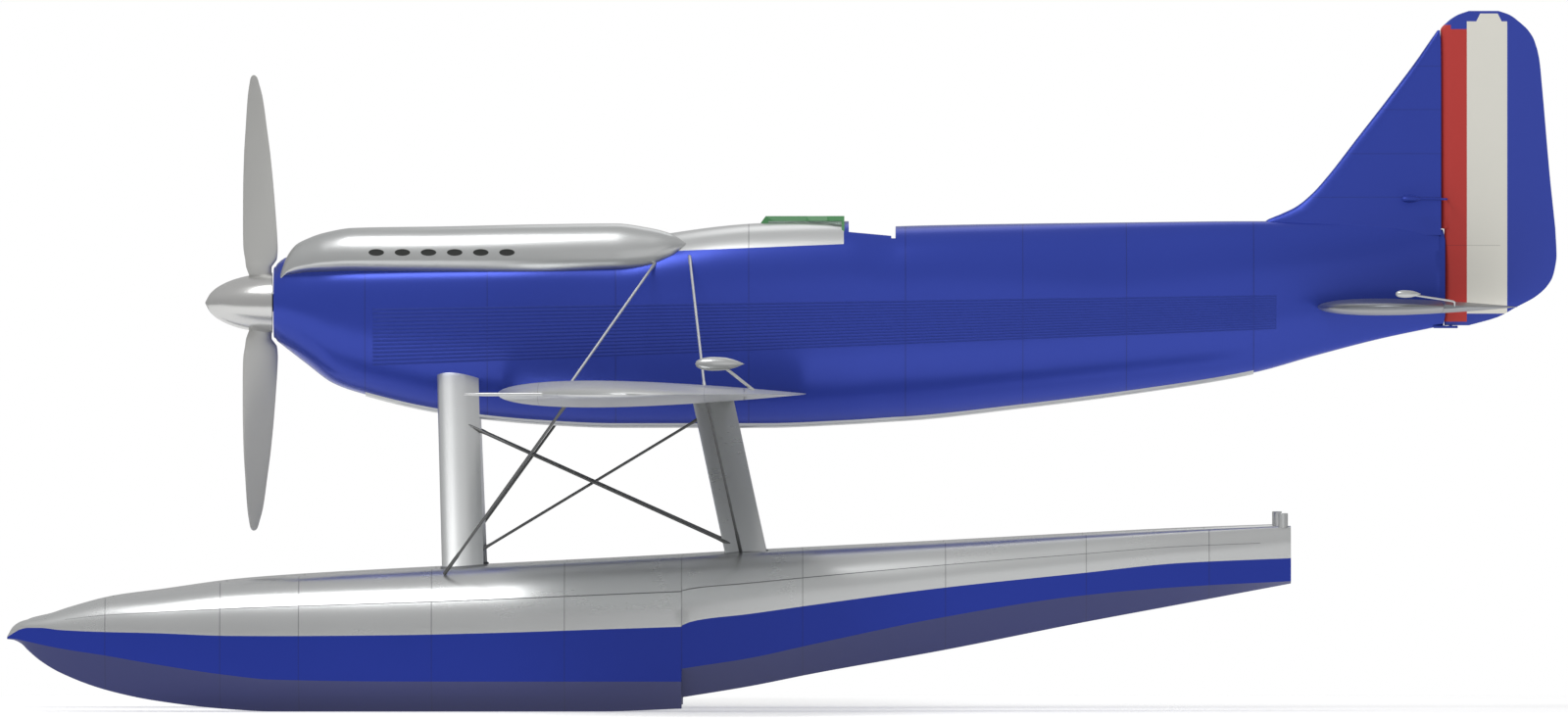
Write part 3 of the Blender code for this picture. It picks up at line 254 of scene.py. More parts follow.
# %% Node group: a rivet row
def build_rivets():
    """A rivet is a low dome: one less the squared distance from its middle over the head's
    radius squared, and never under nought."""
    group, given, result = new_group(
        "rivet_row", {"Along": 0.0, "Place": 0.0, "Across": 0.0, "Pitch": 0.03, "Offset": 0.011, "Radius": 0.0028,
                      "Before": 0.0}, {"Mask": float})
    away = compute(group, "ABSOLUTE", compute(group, "SUBTRACT", given["Along"], given["Place"]))
    off_row = compute(group, "SUBTRACT", away, given["Offset"])
    off_step = compute(group, "PINGPONG", given["Across"], compute(group, "MULTIPLY", given["Pitch"], 0.5))
    reach = compute(group, "MULTIPLY_ADD", off_row, off_row, compute(group, "MULTIPLY", off_step, off_step))
    size = compute(group, "MULTIPLY", given["Radius"], given["Radius"])
    hit = compute(group, "SUBTRACT", 1.0, compute(group, "DIVIDE", reach, size))
    feed(group, result, {"Mask": compute(group, "MAXIMUM", hit, given["Before"])})
    return group


RIVETS = build_rivets()


def marks(tree, group, places, values, mask=0.0):
    """Marks at several places along a coordinate, each the larger of itself and the ones before."""
    for place in places:
        mask = node(tree, "Group", {**values, "Place": place, "Before": mask}, node_tree=group).outputs["Mask"]
    return mask


def round_the_skin(tree, axes, y, z, radius):
    """Distance round a skin: the angle about a line along X, times the skin's mean radius."""
    across = compute(tree, "SUBTRACT", compute(tree, "ABSOLUTE", axes["Y"]), y)
    turn = compute(tree, "ARCTAN2", compute(tree, "SUBTRACT", axes["Z"], z), across)
    return compute(tree, "MULTIPLY", turn, radius)


print("group:", RIVETS.name, len(RIVETS.nodes), "nodes")

# %% [markdown]
# A finish is a principled surface fed by the grain group. Colours were picked
# for white light, then a seam pattern darkens them a little and dips the surface.

# %% A finish from a few numbers
SEAM_TINT = (0.02, 0.02, 0.03)
SEAM_DEPTH, RIVET_SHADE, RIVET_HEIGHT = 0.6, 0.12, 0.2


def finish(name, colour, roughness, metallic=0.0, specular=0.5, drift=0.12, grain=0.06, grain_scale=60.0, bump=0.15,
           seams=None, seam_shade=0.45, seam_width=0.0032, rivets=None, paint=None):
    """Colour and roughness drift with the sheet. Seams lie at places along an axis. Rivets
    go with one axis of seams and step along X, or round the skin about a given line."""
    material, tree, shader = surface(name, {"Metallic": metallic, "Specular IOR Level": specular})
    place = node(tree, "TexCoord").outputs["Object"]
    sheet = node(tree, "Group", {
        "Place": place, "Colour": paint(tree, place) if paint else (*colour, 1.0), "Drift": drift,
        "Roughness": roughness, "Grain Scale": grain_scale, "Grain": grain}, node_tree=SHEET_GRAIN).outputs
    tone, height = sheet["Colour"], sheet["Height"]
    if seams:
        axes = node(tree, "SeparateXYZ", {0: place}).outputs
        mask = 0.0
        for axis, places in seams.items():
            mask = marks(tree, SEAM, places, {"Along": axes[axis], "Width": seam_width}, mask)
        tone = tinted(tree, compute(tree, "MULTIPLY", mask, seam_shade), tone, SEAM_TINT)
        height = compute(tree, "SUBTRACT", height, compute(tree, "MULTIPLY", mask, SEAM_DEPTH))
    if rivets:
        axis, line = rivets
        across = round_the_skin(tree, axes, *line) if line else axes["X"]
        heads = marks(tree, RIVETS, seams[axis], {"Along": axes[axis], "Across": across})
        tone = tinted(tree, compute(tree, "MULTIPLY", heads, RIVET_SHADE), tone, SEAM_TINT)
        height = compute(tree, "MULTIPLY_ADD", heads, RIVET_HEIGHT, height)
    relief = node(tree, "Bump", {"Strength": bump, "Distance": 0.002, "Height": height})
    feed(tree, shader, {"Base Color": tone, "Roughness": sheet["Roughness"], "Normal": relief.outputs["Normal"]})
    return material


print("rivets darken the skin by", RIVET_SHADE, "and seams by the value of each finish")

# %% [markdown]
# The rudder carries upright stripes: red, cream and blue. Their edges are straight
# lines in the picture, so its finish compares the piece's own X and Z with the edges
# and picks a colour.

# %% Striped finish
BLUE, RED, CREAM = (0.032, 0.060, 0.400), (0.54, 0.047, 0.040), (0.82, 0.805, 0.73)


def between(tree, value, low, high):
    """One where a value lies between two limits, else nought."""
    return compute(tree, "MULTIPLY", compute(tree, "GREATER_THAN", value, low),
                   compute(tree, "LESS_THAN", value, high))


def box(tree, x, z, x_limits, z_limits):
    """One inside a box of X and Z, else nought."""
    return compute(tree, "MULTIPLY", between(tree, x, *x_limits), between(tree, z, *z_limits))


def stripes(tree, place):
    """Boxes in X and Z: red ahead, cream in the middle, blue round them. The cream's upper
    tab has sloping sides, so it is a box in the distance from its middle plus the height."""
    axes = node(tree, "SeparateXYZ", {0: place}).outputs
    x, z = axes["X"], axes["Z"]
    red = box(tree, x, z, (3.5, 3.884), (2.207, 3.872))
    red_tab = box(tree, x, z, (3.732, 3.793), (3.80, 3.896))
    cream = box(tree, x, z, (3.884, 4.1138), (2.253, 3.9163))
    sloping = compute(tree, "MULTIPLY_ADD", compute(tree, "ABSOLUTE", compute(tree, "SUBTRACT", x, 4.010)), 2.0, z)
    cream_tab = box(tree, sloping, z, (3.80, 4.061), (3.90, 3.961))
    tone = tinted(tree, compute(tree, "MAXIMUM", red, red_tab), BLUE, RED)
    tone = tinted(tree, compute(tree, "MAXIMUM", cream, cream_tab), tone, CREAM)
    seam = box(tree, x, z, (3.5, 4.075), (2.640, 2.643))
    return tinted(tree, compute(tree, "MULTIPLY", seam, 0.35), tone, SEAM_TINT)


print("stripes:", RED, CREAM, BLUE)

# %% [markdown]
# Every finish is a row of a table: the slot that the imported record keeps for it, its
# colour, its roughness, and what sets it apart from plain paint. Pieces then name their
# finish alone.

# %% Table of finishes
# name: the record's slot, colour, roughness, what differs from plain paint
BARE = (0.55, 0.56, 0.56)
METAL = {"metallic": 0.85, "grain": 0.04, "drift": 0.08, "bump": 0.012}
WIRE = {"grain": 0.05, "grain_scale": 200.0}
BODY_SEAMS = {"X": pixels(372, 497, 628, 764, 924, 1044, 1150, 1280)}
FLOAT_SEAMS = {"X": pixels(110, 227, 307, 442, 577, 696, 819, 964, 1107, 1232)}
WING_SEAMS = {"Y": [side * y for _, side in SIDES for y in (0.62, 1.20, 1.83, 2.47, 3.10, 3.75, 4.20)],
              "X": [x_of(3.02), x_of(3.95)]}
FINISHES = {
    "hull_blue": ("blue_paint", BLUE, 0.24, {
        "metallic": 0.4, "specular": 0.3, "grain": 0.03, "seams": BODY_SEAMS, "seam_shade": 0.30,
        "rivets": ("X", (0.0, 2.2, 0.36))}),
    "fin_blue": ("blue_paint", BLUE, 0.34, {
        "metallic": 0.4, "specular": 0.3, "grain": 0.03, "seams": {"Z": [3.661, 3.414, 3.163, 2.915]},
        "seam_shade": 0.22, "seam_width": 0.0025}),
    "rudder_stripes": ("rudder_paint", BLUE, 0.40, {"specular": 0.3, "grain": 0.03, "drift": 0.06, "paint": stripes}),
    # painted shade: the ridges take a darker blue than the skin, for the thin shadow lines under each ridge
    "ridge_blue": ("blue_paint", (0.030, 0.052, 0.30), 0.55, {"specular": 0.1, "grain": 0.0}),
    "float_blue": ("silver_skin", (0.014, 0.034, 0.30), 0.3, {
        "metallic": 0.3, "specular": 0.25, "grain": 0.03, "seams": FLOAT_SEAMS, "seam_shade": 0.30}),
    "keel_blue": ("silver_skin", (0.034, 0.041, 0.145), 0.45, {
        "specular": 0.3, "grain": 0.03, "seams": FLOAT_SEAMS, "seam_shade": 0.25}),
    "bare_metal": ("silver_skin", BARE, 0.30, METAL),
    # painted shade: the tailplanes' metal is a much darker copy of the wings' bare metal, for the shade that lies on
    # them
    "tail_metal": ("silver_skin", (0.21, 0.22, 0.235), 0.32, METAL),
    "deck_metal": ("silver_skin", (0.64, 0.65, 0.65), 0.30, METAL | {
        "bump": 0.03, "seams": {"X": pixels(764)}, "seam_shade": 0.4, "rivets": ("X", (0.0, 2.2, 0.45))}),
    "wing_metal": ("silver_skin", BARE, 0.30, METAL | {
        "grain": 0.03, "bump": 0.03, "seams": WING_SEAMS, "seam_shade": 0.35, "seam_width": 0.002,
        "rivets": ("Y", None)}),
    "float_metal": ("silver_skin", (0.57, 0.58, 0.58), 0.27, METAL | {
        "grain": 0.02, "bump": 0.03, "seams": FLOAT_SEAMS, "seam_shade": 0.35,
        "rivets": ("X", (TRACK / 2, 0.48, 0.30))}),
    "float_seam": ("silver_skin", (0.16, 0.165, 0.17), 0.45, {"metallic": 0.6, "grain": 0.02}),
    "collar_metal": ("silver_skin", (0.20, 0.205, 0.21), 0.4, {"metallic": 0.7, "grain": 0.05}),
    "propeller_metal": ("polished_metal", (0.50, 0.50, 0.485), 0.45, {"metallic": 0.5, "grain": 0.08}),
    "spinner_metal": ("polished_metal", (0.60, 0.60, 0.59), 0.22, {"metallic": 0.9}),
    "engine_iron": ("polished_metal", (0.06, 0.06, 0.062), 0.6, {"metallic": 0.4, "grain": 0.2}),
    "sooty_steel": ("cast_metal", (0.022, 0.024, 0.022), 0.75, {"drift": 0.5, "grain": 0.15}),
    "wire_steel": ("wire_steel", (0.13, 0.132, 0.13), 0.36, WIRE | {"metallic": 0.85}),
    # painted light: the upper wires take a lighter copy of the steel, for the light they catch
    "wire_bright": ("wire_steel", (0.56, 0.57, 0.57), 0.34, WIRE | {"metallic": 0.7}),
    "green_enamel": (None, (0.062, 0.245, 0.085), 0.42, {"grain": 0.03}),
    "cabin_green": ("cockpit_metal", (0.17, 0.19, 0.16), 0.55, {"grain": 0.08}),
    "leather": (None, (0.20, 0.080, 0.036), 0.52, {
        "drift": 0.45, "grain": 0.30, "grain_scale": 240.0, "bump": 0.5, "specular": 0.4}),
    "dark_rubber": (None, (0.018, 0.017, 0.016), 0.6, {"grain": 0.08}),
    "dial_black": (None, (0.012, 0.012, 0.012), 0.35, {"grain": 0.02}),
    "dial_white": (None, (0.75, 0.74, 0.70), 0.5, {"grain": 0.02}),
}
PAINT = {name: finish(name, colour, roughness, **more) for name, (_, colour, roughness, more) in FINISHES.items()}
print("finishes:", ", ".join(PAINT))

# %% [markdown]
# Every skin here runs smoothly through a short table of measured sections. A smooth
# curve that never swings past its points suits that: each table column becomes a cubic
# whose slope at a point is the harmonic mean of the slopes on both sides.

# %% Smooth curves through a table
def smooth(at, table):
    """Cubic through a table whose first column is the place: slope at a place is the harmonic
    mean of its two neighbours' slopes, or nought where they differ in sign, so it never
    overshoots. A single column of values comes back without its axis."""
    at, table = np.asarray(at, float), np.asarray(table, float)
    places, values = table[:, 0], table[:, 1:]
    gap = np.diff(places)[:, None]
    slope = np.diff(values, axis=0) / gap
    before, after, first, second = slope[:-1], slope[1:], gap[:-1], gap[1:]
    same = before * after > 0
    before, after = np.where(same, before, 1.0), np.where(same, after, 1.0)
    weight_a, weight_b = 2 * second + first, second + 2 * first
    inner = np.where(same, (weight_a + weight_b) / (weight_a / before + weight_b / after), 0.0)
    ends = np.concatenate([slope[:1], inner, slope[-1:]])
    k = np.clip(np.searchsorted(places, at, side="right") - 1, 0, len(places) - 2)
    t = np.clip(((at - places[k]) / (places[k + 1] - places[k]))[..., None], 0.0, 1.0)
    h = gap[k]
    curve = ((1 + 2 * t) * (1 - t) ** 2 * values[k] + t * (1 - t) ** 2 * h * ends[k]
             + t * t * (3 - 2 * t) * values[k + 1] + t * t * (t - 1) * h * ends[k + 1])
    return curve[..., 0] if values.shape[1] == 1 else curve


def spaced(start, end, count, ends_dense=False):
    """Even steps, or steps on a half circle that crowd both ends."""
    share = np.linspace(0.0, 1.0, count)
    if ends_dense:
        share = (1 - np.cos(share * math.pi)) / 2
    return start + (end - start) * share


def circle(count):
    """Even turns round a circle."""
    return np.arange(count) * 2 * math.pi / count


def unit(vectors):
    """The same directions at length one."""
    return vectors / np.linalg.norm(vectors, axis=-1, keepdims=True)


print("smooth check:", smooth([0.5], [(0, 0), (1, 1)])[0])

# %% [markdown]
# A skin is a grid of points: one parameter runs along the piece and the other round it.
# The faces join each point to its neighbours, and the ends are closed with a cap.

# %% From grids to pieces
WELD = 1e-6


def grid_of(x, y, z):
    """Points from three arrays that broadcast together."""
    return np.stack(np.broadcast_arrays(x, y, z), axis=-1)


def folded(near, far):
    """Rings out along one face and back along the other, whose first point they share."""
    return np.concatenate([near, far[:, :0:-1]], axis=1)


def joined(grids, wrap=True, caps=True, ring=False):
    """Points and faces of many grids as index arithmetic: quads between neighbours, round
    each row if it wraps, from the last row to the first in a ring, and caps on both ends."""
    points, faces, offset = [], [], 0
    for grid in grids:
        rows, columns = np.shape(grid)[:2]
        i, j = np.meshgrid(np.arange(rows if ring else rows - 1), np.arange(columns if wrap else columns - 1),
                           indexing="ij")
        near, far, after = offset + i * columns, offset + (i + 1) % rows * columns, (j + 1) % columns
        faces += np.stack([near + j, near + after, far + after, far + j], axis=-1).reshape(-1, 4).tolist()
        if caps:
            first, last = np.arange(columns) + offset, np.arange(columns) + offset + (rows - 1) * columns
            faces += [first.tolist(), last.tolist()]
        points.append(np.reshape(grid, (-1, 3)))
        offset += rows * columns
    return np.concatenate(points), faces


def settle(thing, body=None, stands_for=None, smooth_angle=35.0):
    """Smooth shading except at sharp edges, then the calls that tie a piece to the model."""
    thing.data.polygons.foreach_set("use_smooth", np.ones(len(thing.data.polygons), bool))
    thing.data.set_sharp_from_angle(angle=math.radians(smooth_angle))
    if body:
        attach(thing, body)
    if stands_for:
        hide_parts(stands_for)


def piece(name, points, faces, paint, body="airframe", stands_for=None, smooth_angle=35.0, closed=True,
          face_paint=None):
    """One mesh object with its faces turned outwards, its finishes, its body and the node it
    stands for. A piece without a body is a cutter."""
    paints = [paint] if isinstance(paint, str) else paint
    mesh = bpy.data.meshes.new(name)
    mesh.from_pydata(np.asarray(points, float).tolist(), [], faces)
    for key in paints:
        mesh.materials.append(PAINT[key])
    if face_paint is not None:
        mesh.polygons.foreach_set("material_index", np.asarray(face_paint, np.int32))
    shell = bmesh.new()
    shell.from_mesh(mesh)
    bmesh.ops.remove_doubles(shell, verts=shell.verts, dist=WELD)
    bmesh.ops.recalc_face_normals(shell, faces=shell.faces)
    if closed and shell.calc_volume(signed=True) < 0:
        bmesh.ops.reverse_faces(shell, faces=shell.faces)
    shell.to_mesh(mesh)
    shell.free()
    thing = added(name, mesh)
    settle(thing, body, stands_for, smooth_angle)
    return thing


def several(name, grids, paint, **more):
    """Many like closed bodies in one mesh, each from its own rings with a cap on each end."""
    return piece(name, *joined(grids), paint, **more)


def solid(name, grid, paint, **more):
    """One closed body from its rings."""
    return several(name, [grid], paint, **more)


print("points closer than", WELD, "m are merged")

# %% [markdown]
# Rods, tubes and turned forms are circles carried along a line. Where one form has to be
# cut out of another, an exact boolean does it, and its result is applied at once.

# %% Rods, turned forms and cutters
def square_to(along):
    """Two directions square to a line, or to each step of a path."""
    guide = (0.0, 0.0, 1.0) if np.abs(along[..., 2]).mean() < 0.9 else (1.0, 0.0, 0.0)
    across = unit(np.cross(along, guide))
    return across, np.cross(across, along)


def tube_rings(path, radius, sides=12):
    """A circle carried along a path, square to it at each point."""
    path = np.asarray(path, float)
    across, up = square_to(unit(np.gradient(path, axis=0)))
    turns = circle(sides)[:, None]
    ring = np.cos(turns) * across[:, None] + np.sin(turns) * up[:, None]
    return path[:, None] + np.broadcast_to(radius, len(path))[:, None, None] * ring


def turned(start, end, profile, sides=32):
    """A profile of (distance along, radius) turned about a line."""
    start, along = np.asarray(start, float), unit(np.subtract(end, start))
    across, up = square_to(along)
    profile, turns = np.asarray(profile, float), circle(sides)[:, None]
    ring = np.cos(turns) * across + np.sin(turns) * up
    return start + profile[:, 0, None, None] * along + profile[:, 1, None, None] * ring


def turned_along(station, y, z, profile, sides=32):
    """A profile turned about a line that runs aft from a station."""
    return turned((x_of(station), y, z), (x_of(station) + 1, y, z), profile, sides)


def bake(thing):
    """Applies the live modifiers, so that the mesh itself is what shows."""
    bpy.context.view_layer.update()
    whole = bpy.data.meshes.new_from_object(thing.evaluated_get(bpy.context.evaluated_depsgraph_get()))
    thing.modifiers.clear()
    thing.data = whole


def carve(thing, tool):
    """Takes a cutter out of a piece with an exact boolean, removes it and shades the piece."""
    step = thing.modifiers.new(tool.name, "BOOLEAN")
    step.object, step.operation, step.solver = tool, "DIFFERENCE", "EXACT"
    bake(thing)
    bpy.data.objects.remove(tool)
    settle(thing)


print("grid of a short tube:", tube_rings([(0, 0, 0), (0, 0, 1)], 1.0, 4).shape)

# %% [markdown]
# The fuselage is a round-cornered oval that changes from nose to tail. Each section is
# two half superellipses joined at the widest height. The table holds the measured
# sections, and the skin runs smoothly between them.

# %% Fuselage sections
# station, top, bottom, half width, widest height, crown and belly exponents
BODY = np.array([
    (1.491, 2.520, 2.112, 0.202, 2.315, 2.0, 2.0), (1.558, 2.572, 2.060, 0.230, 2.315, 2.0, 2.0),
    (1.669, 2.598, 1.974, 0.266, 2.300, 2.1, 2.0), (1.836, 2.604, 1.853, 0.303, 2.280, 2.5, 2.1),
    (2.014, 2.606, 1.792, 0.330, 2.260, 2.8, 2.2), (2.448, 2.610, 1.692, 0.364, 2.230, 3.2, 2.2),
    (3.004, 2.618, 1.630, 0.380, 2.200, 3.4, 2.2), (3.438, 2.632, 1.611, 0.380, 2.180, 3.2, 2.2),
    (3.744, 2.710, 1.611, 0.378, 2.180, 2.9, 2.2), (4.272, 2.768, 1.611, 0.370, 2.180, 2.9, 2.2),
    (4.762, 2.779, 1.630, 0.356, 2.180, 2.9, 2.2), (5.029, 2.750, 1.647, 0.343, 2.184, 2.8, 2.1),
    (5.085, 2.752, 1.650, 0.341, 2.185, 2.8, 2.1), (5.752, 2.765, 1.722, 0.296, 2.210, 2.4, 2.1),
    (6.342, 2.772, 1.798, 0.246, 2.250, 2.0, 2.0), (7.065, 2.779, 1.916, 0.180, 2.330, 2.0, 2.0),
    (7.430, 2.779, 2.017, 0.142, 2.380, 2.0, 2.0), (7.790, 2.776, 2.110, 0.100, 2.420, 2.0, 2.0),
    (8.121, 2.776, 2.180, 0.056, 2.450, 2.0, 2.0),
])
# station and height where the blue side ends and the bare deck or the cockpit begins
PARTING = np.array([(3.438, 2.600), (3.56, 2.600), (4.734, 2.648), (4.762, 2.717), (5.003, 2.695), (5.004, 2.681),
                    (5.085, 2.681)])
NOSE_END, COWL_END, DECK_START, DECK_END = 1.491, 3.438, 3.56, 4.734
SILL_START, SILL_END, CENTRE_END, REAR_END = 4.762, 5.003, 5.085, 7.065
SKIN, JOINT, BODY_MIDDLE = 0.014, 0.0003, 2.25
ROUND = circle(96)


def oval_rings(at, sizes, turns, grow=0.0):
    """Section point at a turn: y is the half width by the turn's cosine and z the rise by
    its sine, each to the power two over the exponent, above or below the widest height."""
    sizes = np.asarray(sizes, float)[:, None, :]
    top, bottom, half, widest, crown, belly = (sizes[..., i] for i in range(6))
    cosine, sine = np.cos(turns), np.sin(turns)
    power = np.where(sine > 0, 2 / crown, 2 / belly)
    y = (half + grow) * np.sign(cosine) * np.abs(cosine) ** power
    rise = np.where(sine > 0, top + grow - widest, widest - bottom + grow)
    z = widest + rise * np.sign(sine) * np.abs(sine) ** power
    return grid_of(x_of(np.asarray(at, float))[:, None], y, z)


def body_surface(at, turns, grow=0.0):
    """Fuselage rings at any stations, their sizes read off the smooth table."""
    return oval_rings(at, smooth(at, BODY), turns, grow)


def turn_at(at, heights):
    """The turn at which a section reaches a height, from the same formula read backwards."""
    top, bottom, _, widest, crown, belly = smooth(at, BODY).T
    above = heights > widest
    share = np.where(above, (heights - widest) / (top - widest), (widest - heights) / (widest - bottom))
    share = np.clip(share, 0.0, 1.0) ** (np.where(above, crown, belly) / 2)
    return np.where(above, 1.0, -1.0) * np.arcsin(share)


def thick_skin(name, grids, paint, stands_for, wrap=False):
    """Grids of one surface welded along their shared edges, then given a wall inwards."""
    thing = piece(name, *joined(grids, wrap, caps=False), paint, body=None, closed=False)
    mesh = thing.data
    centre, normal = np.empty((2, len(mesh.polygons) * 3))
    mesh.polygons.foreach_get("center", centre)
    mesh.polygons.foreach_get("normal", normal)
    outward = (centre.reshape(-1, 3) - (0, 0, BODY_MIDDLE)) * normal.reshape(-1, 3)
    if outward[:, 1:].sum() < 0:
        mesh.flip_normals()
    wall = thing.modifiers.new("wall", "SOLIDIFY")
    wall.thickness, wall.offset, wall.use_even_offset = SKIN, -1.0, False
    bake(thing)
    settle(thing, "airframe", stands_for)


print("fuselage sections:", len(BODY))

# %% [markdown]
# The engine cowl is one long blue skin whose front rolls in to a hole for the
# propeller shaft. Its lip is part of the same surface: the last rings shrink towards
# the thrust line.

# %% Engine cowl
LIP, SHAFT_HOLE = 0.010, 0.085


def cowl_rings():
    """Fuselage rings from the nose back, after the shaft hole and a quarter turn of lip."""
    rings = body_surface(np.concatenate([spaced(NOSE_END, 2.014, 26), spaced(2.05, COWL_END - JOINT, 40)]), ROUND)
    nose = float(rings[0, 0, 0])
    middle = np.array([nose, 0.0, THRUST])
    front = [grid_of(nose + 0.001, SHAFT_HOLE * np.cos(ROUND), THRUST + SHAFT_HOLE * np.sin(ROUND))]
    for turn in np.radians([90, 70, 45, 20]):
        front.append(middle + (rings[0] - middle) * (1 - 0.05 * (1 - math.cos(turn))))
        front[-1][:, 0] = nose + LIP - LIP * math.sin(turn)
    rings[..., 0] = np.maximum(rings[..., 0], nose + LIP)
    return np.concatenate([front, rings])


thick_skin("engine_cowl_skin", [cowl_rings()], "hull_blue", "engine_cowl", wrap=True)
print("cowl from station", NOSE_END, "to", COWL_END)

# %% [markdown]
# Behind the cowl, a bare metal deck covers the top as far as the windscreen, and the
# cockpit is cut into the blue skin behind it. Both edges follow a height that changes
# along the fuselage, so the grid is split at the turn where the section reaches it.

# %% Centre fuselage and front deck
def parting_turn(at, below=0.0):
    """The turn of the edge between side and deck, or of a line below it."""
    return turn_at(at, np.interp(at, *PARTING.T) - below)


def skin_part(at, way):
    """From one edge to the other by way of the belly (-1) or over the crown (1)."""
    edge = parting_turn(at)[:, None]
    return body_surface(at, edge + (way * math.pi - 2 * edge) * np.linspace(0, 1, 72 if way < 0 else 40))


before_deck, deck_run = spaced(COWL_END, DECK_START, 6), spaced(DECK_START, DECK_END, 48)
rim, sill = spaced(DECK_END, SILL_START, 3), spaced(SILL_START, SILL_END, 14)
notch, behind = spaced(5.004, 5.029, 3), spaced(5.029, CENTRE_END - JOINT, 5)
whole = np.concatenate([before_deck, deck_run[1:], rim[1:], sill[1:], notch, behind[1:]])
thick_skin("centre_fuselage_skin", [skin_part(whole, -1), *(skin_part(at, 1) for at in (before_deck, rim, behind))],
           "hull_blue", "centre_fuselage")
thick_skin("front_deck_skin", [skin_part(spaced(DECK_START + JOINT, DECK_END - JOINT, 60), 1)], "deck_metal",
           "front_deck")
print("stations in the side:", len(whole))

# %% [markdown]
# Behind the cockpit the fuselage is a plain closed skin that tapers to the tail.

# %% Rear fuselage
thick_skin("rear_fuselage_skin", [body_surface(spaced(CENTRE_END, REAR_END - JOINT, 60), ROUND)], "hull_blue",
           "rear_fuselage", wrap=True)
print("rear fuselage from station", CENTRE_END, "to", REAR_END)

# %% [markdown]
# The last metre of the fuselage narrows to an upright post that carries the rudder. Its
# rear is hollowed round the hinge line, so that the rudder's nose can turn in it. A
# boolean with a cylinder makes that hollow. A short heel under the post holds the
# rudder's lower pin.

# %% Tail cone and heel
HINGE = {"rudder": 8.187, "elevator": 8.135, "aileron": 4.183}
COVE = {"low": 0.043, "high": 0.064}
GAP = 0.006
HEEL_START, HEEL_MIDDLE, HEEL_HALF = 8.09, 8.206, 0.022
POST = [(2.732, 2.180, 0.056, 2.450, 2.0, 2.0), (2.732, 2.184, 0.046, 2.450, 2.0, 2.0)]


def upright_rod(name, low, high, radius, sides=64, **more):
    """A cylinder about the rudder's hinge line, between two heights."""
    ends = placed([(HINGE["rudder"], 0, low), (HINGE["rudder"], 0, high)])
    return solid(name, turned(*ends, [(0, radius), (high - low, radius)], sides), **more)


def cutter(name, low, high, radius, sides=64):
    """The same cylinder as a cutter."""
    return upright_rod(name, low, high, radius, sides, paint="hull_blue", body=None)


cone = np.concatenate([body_surface(spaced(REAR_END, 8.121, 44), ROUND), oval_rings([8.123, 8.155], POST, ROUND)])
cone = solid("tail_cone_skin", cone, "hull_blue", stands_for="tail_cone")
carve(cone, cutter("tail_hollow", 2.1855, 2.80, COVE["low"]))
turns = np.linspace(-math.pi / 2, math.pi / 2, 12)
outline = np.concatenate([[(HEEL_START, -HEEL_HALF)],
                          np.stack([HEEL_MIDDLE + HEEL_HALF * np.cos(turns), HEEL_HALF * np.sin(turns)], axis=1),
                          [(HEEL_START, HEEL_HALF)]])
heel = solid("rudder_heel", [placed([(*spot, z) for spot in outline]) for z in (2.170, 2.184)], "hull_blue")
carve(heel, cutter("heel_bore", 2.1, 2.3, 0.0107, 32))
print("tail cone:", len(cone.data.polygons), "faces")

# %% [markdown]
# The fin grows out of the fuselage in a long curve. Its leading edge is a smooth line
# through measured points, and every level section is a rounded nose that widens to a
# square rear face.

# %% Fin
# height, leading-edge station, half thickness
FIN = np.array([
    (2.700, 7.080, 0.042), (2.781, 7.135, 0.041), (2.820, 7.222, 0.041), (2.860, 7.305, 0.040),
    (2.937, 7.400, 0.039), (3.032, 7.485, 0.038), (3.254, 7.657, 0.036), (3.477, 7.830, 0.033),
    (3.699, 7.996, 0.031), (3.811, 8.073, 0.028), (3.866, 8.112, 0.018),
])
# share of the chord, share of the half thickness
FIN_WIDTH = np.array([(0.0, 0.0), (0.001, 0.075), (0.003, 0.13), (0.008, 0.212), (0.018, 0.318), (0.036, 0.445),
                      (0.07, 0.60), (0.13, 0.765), (0.30, 0.93), (0.55, 1.0), (1.0, 1.0)])
FIN_FOOT, FIN_TOP, FIN_REAR = 2.70, 3.866, 8.132


def fin_rings(heights):
    """Across the chord the half width follows a smooth table, scaled by the fin's thickness."""
    lead, half = smooth(heights, FIN).T[:, :, None]
    share = spaced(0, 1, 44) ** 2.5
    x, y = x_of(lead) + (FIN_REAR - lead) * share, half * smooth(share, FIN_WIDTH)
    z = heights[:, None]
    return folded(grid_of(x, y, z), grid_of(x, -y, z))


fin = solid("fin_skin", fin_rings(np.concatenate([spaced(FIN_FOOT, 3.0, 24), spaced(3.02, FIN_TOP, 40)])), "fin_blue",
            stands_for="fin")
carve(fin, cutter("fin_hollow", 2.6, 4.0, COVE["high"]))
print("fin height", round(FIN_TOP - FIN_FOOT, 3), "m")

# %% [markdown]
# The rudder is taller than the fin. Its lower part turns in the narrow hollow of the tail
# cone and its upper part in the wider one of the fin. The front edge jumps between them,
# so each part has its own rows of the table and its own grid.

# %% Rudder
# height, front station, trailing-edge station, half thickness
RUDDER = np.array([
    (2.186, 8.150, 8.290, 0.014), (2.231, 8.150, 8.450, 0.022), (2.289, 8.150, 8.559, 0.025),
    (2.347, 8.150, 8.667, 0.025), (2.403, 8.150, 8.731, 0.025), (2.461, 8.150, 8.767, 0.025),
    (2.520, 8.150, 8.782, 0.025), (2.581, 8.150, 8.790, 0.027), (2.735, 8.150, 8.783, 0.031),
    (2.7365, 8.129, 8.783, 0.031), (3.032, 8.129, 8.752, 0.031), (3.560, 8.129, 8.706, 0.026),
    (3.699, 8.129, 8.692, 0.023), (3.811, 8.129, 8.662, 0.020), (3.866, 8.129, 8.628, 0.018),
    (3.915, 8.170, 8.576, 0.014), (3.955, 8.230, 8.520, 0.010), (3.976, 8.290, 8.460, 0.006),
])
RUDDER_TAPER = [(0.0, 1.0), (0.5, 0.62), (1.0, 0.15)]
RUDDER_FOOT, RUDDER_TOP, NOTCH = 2.186, 3.976, (2.735, 2.7365)


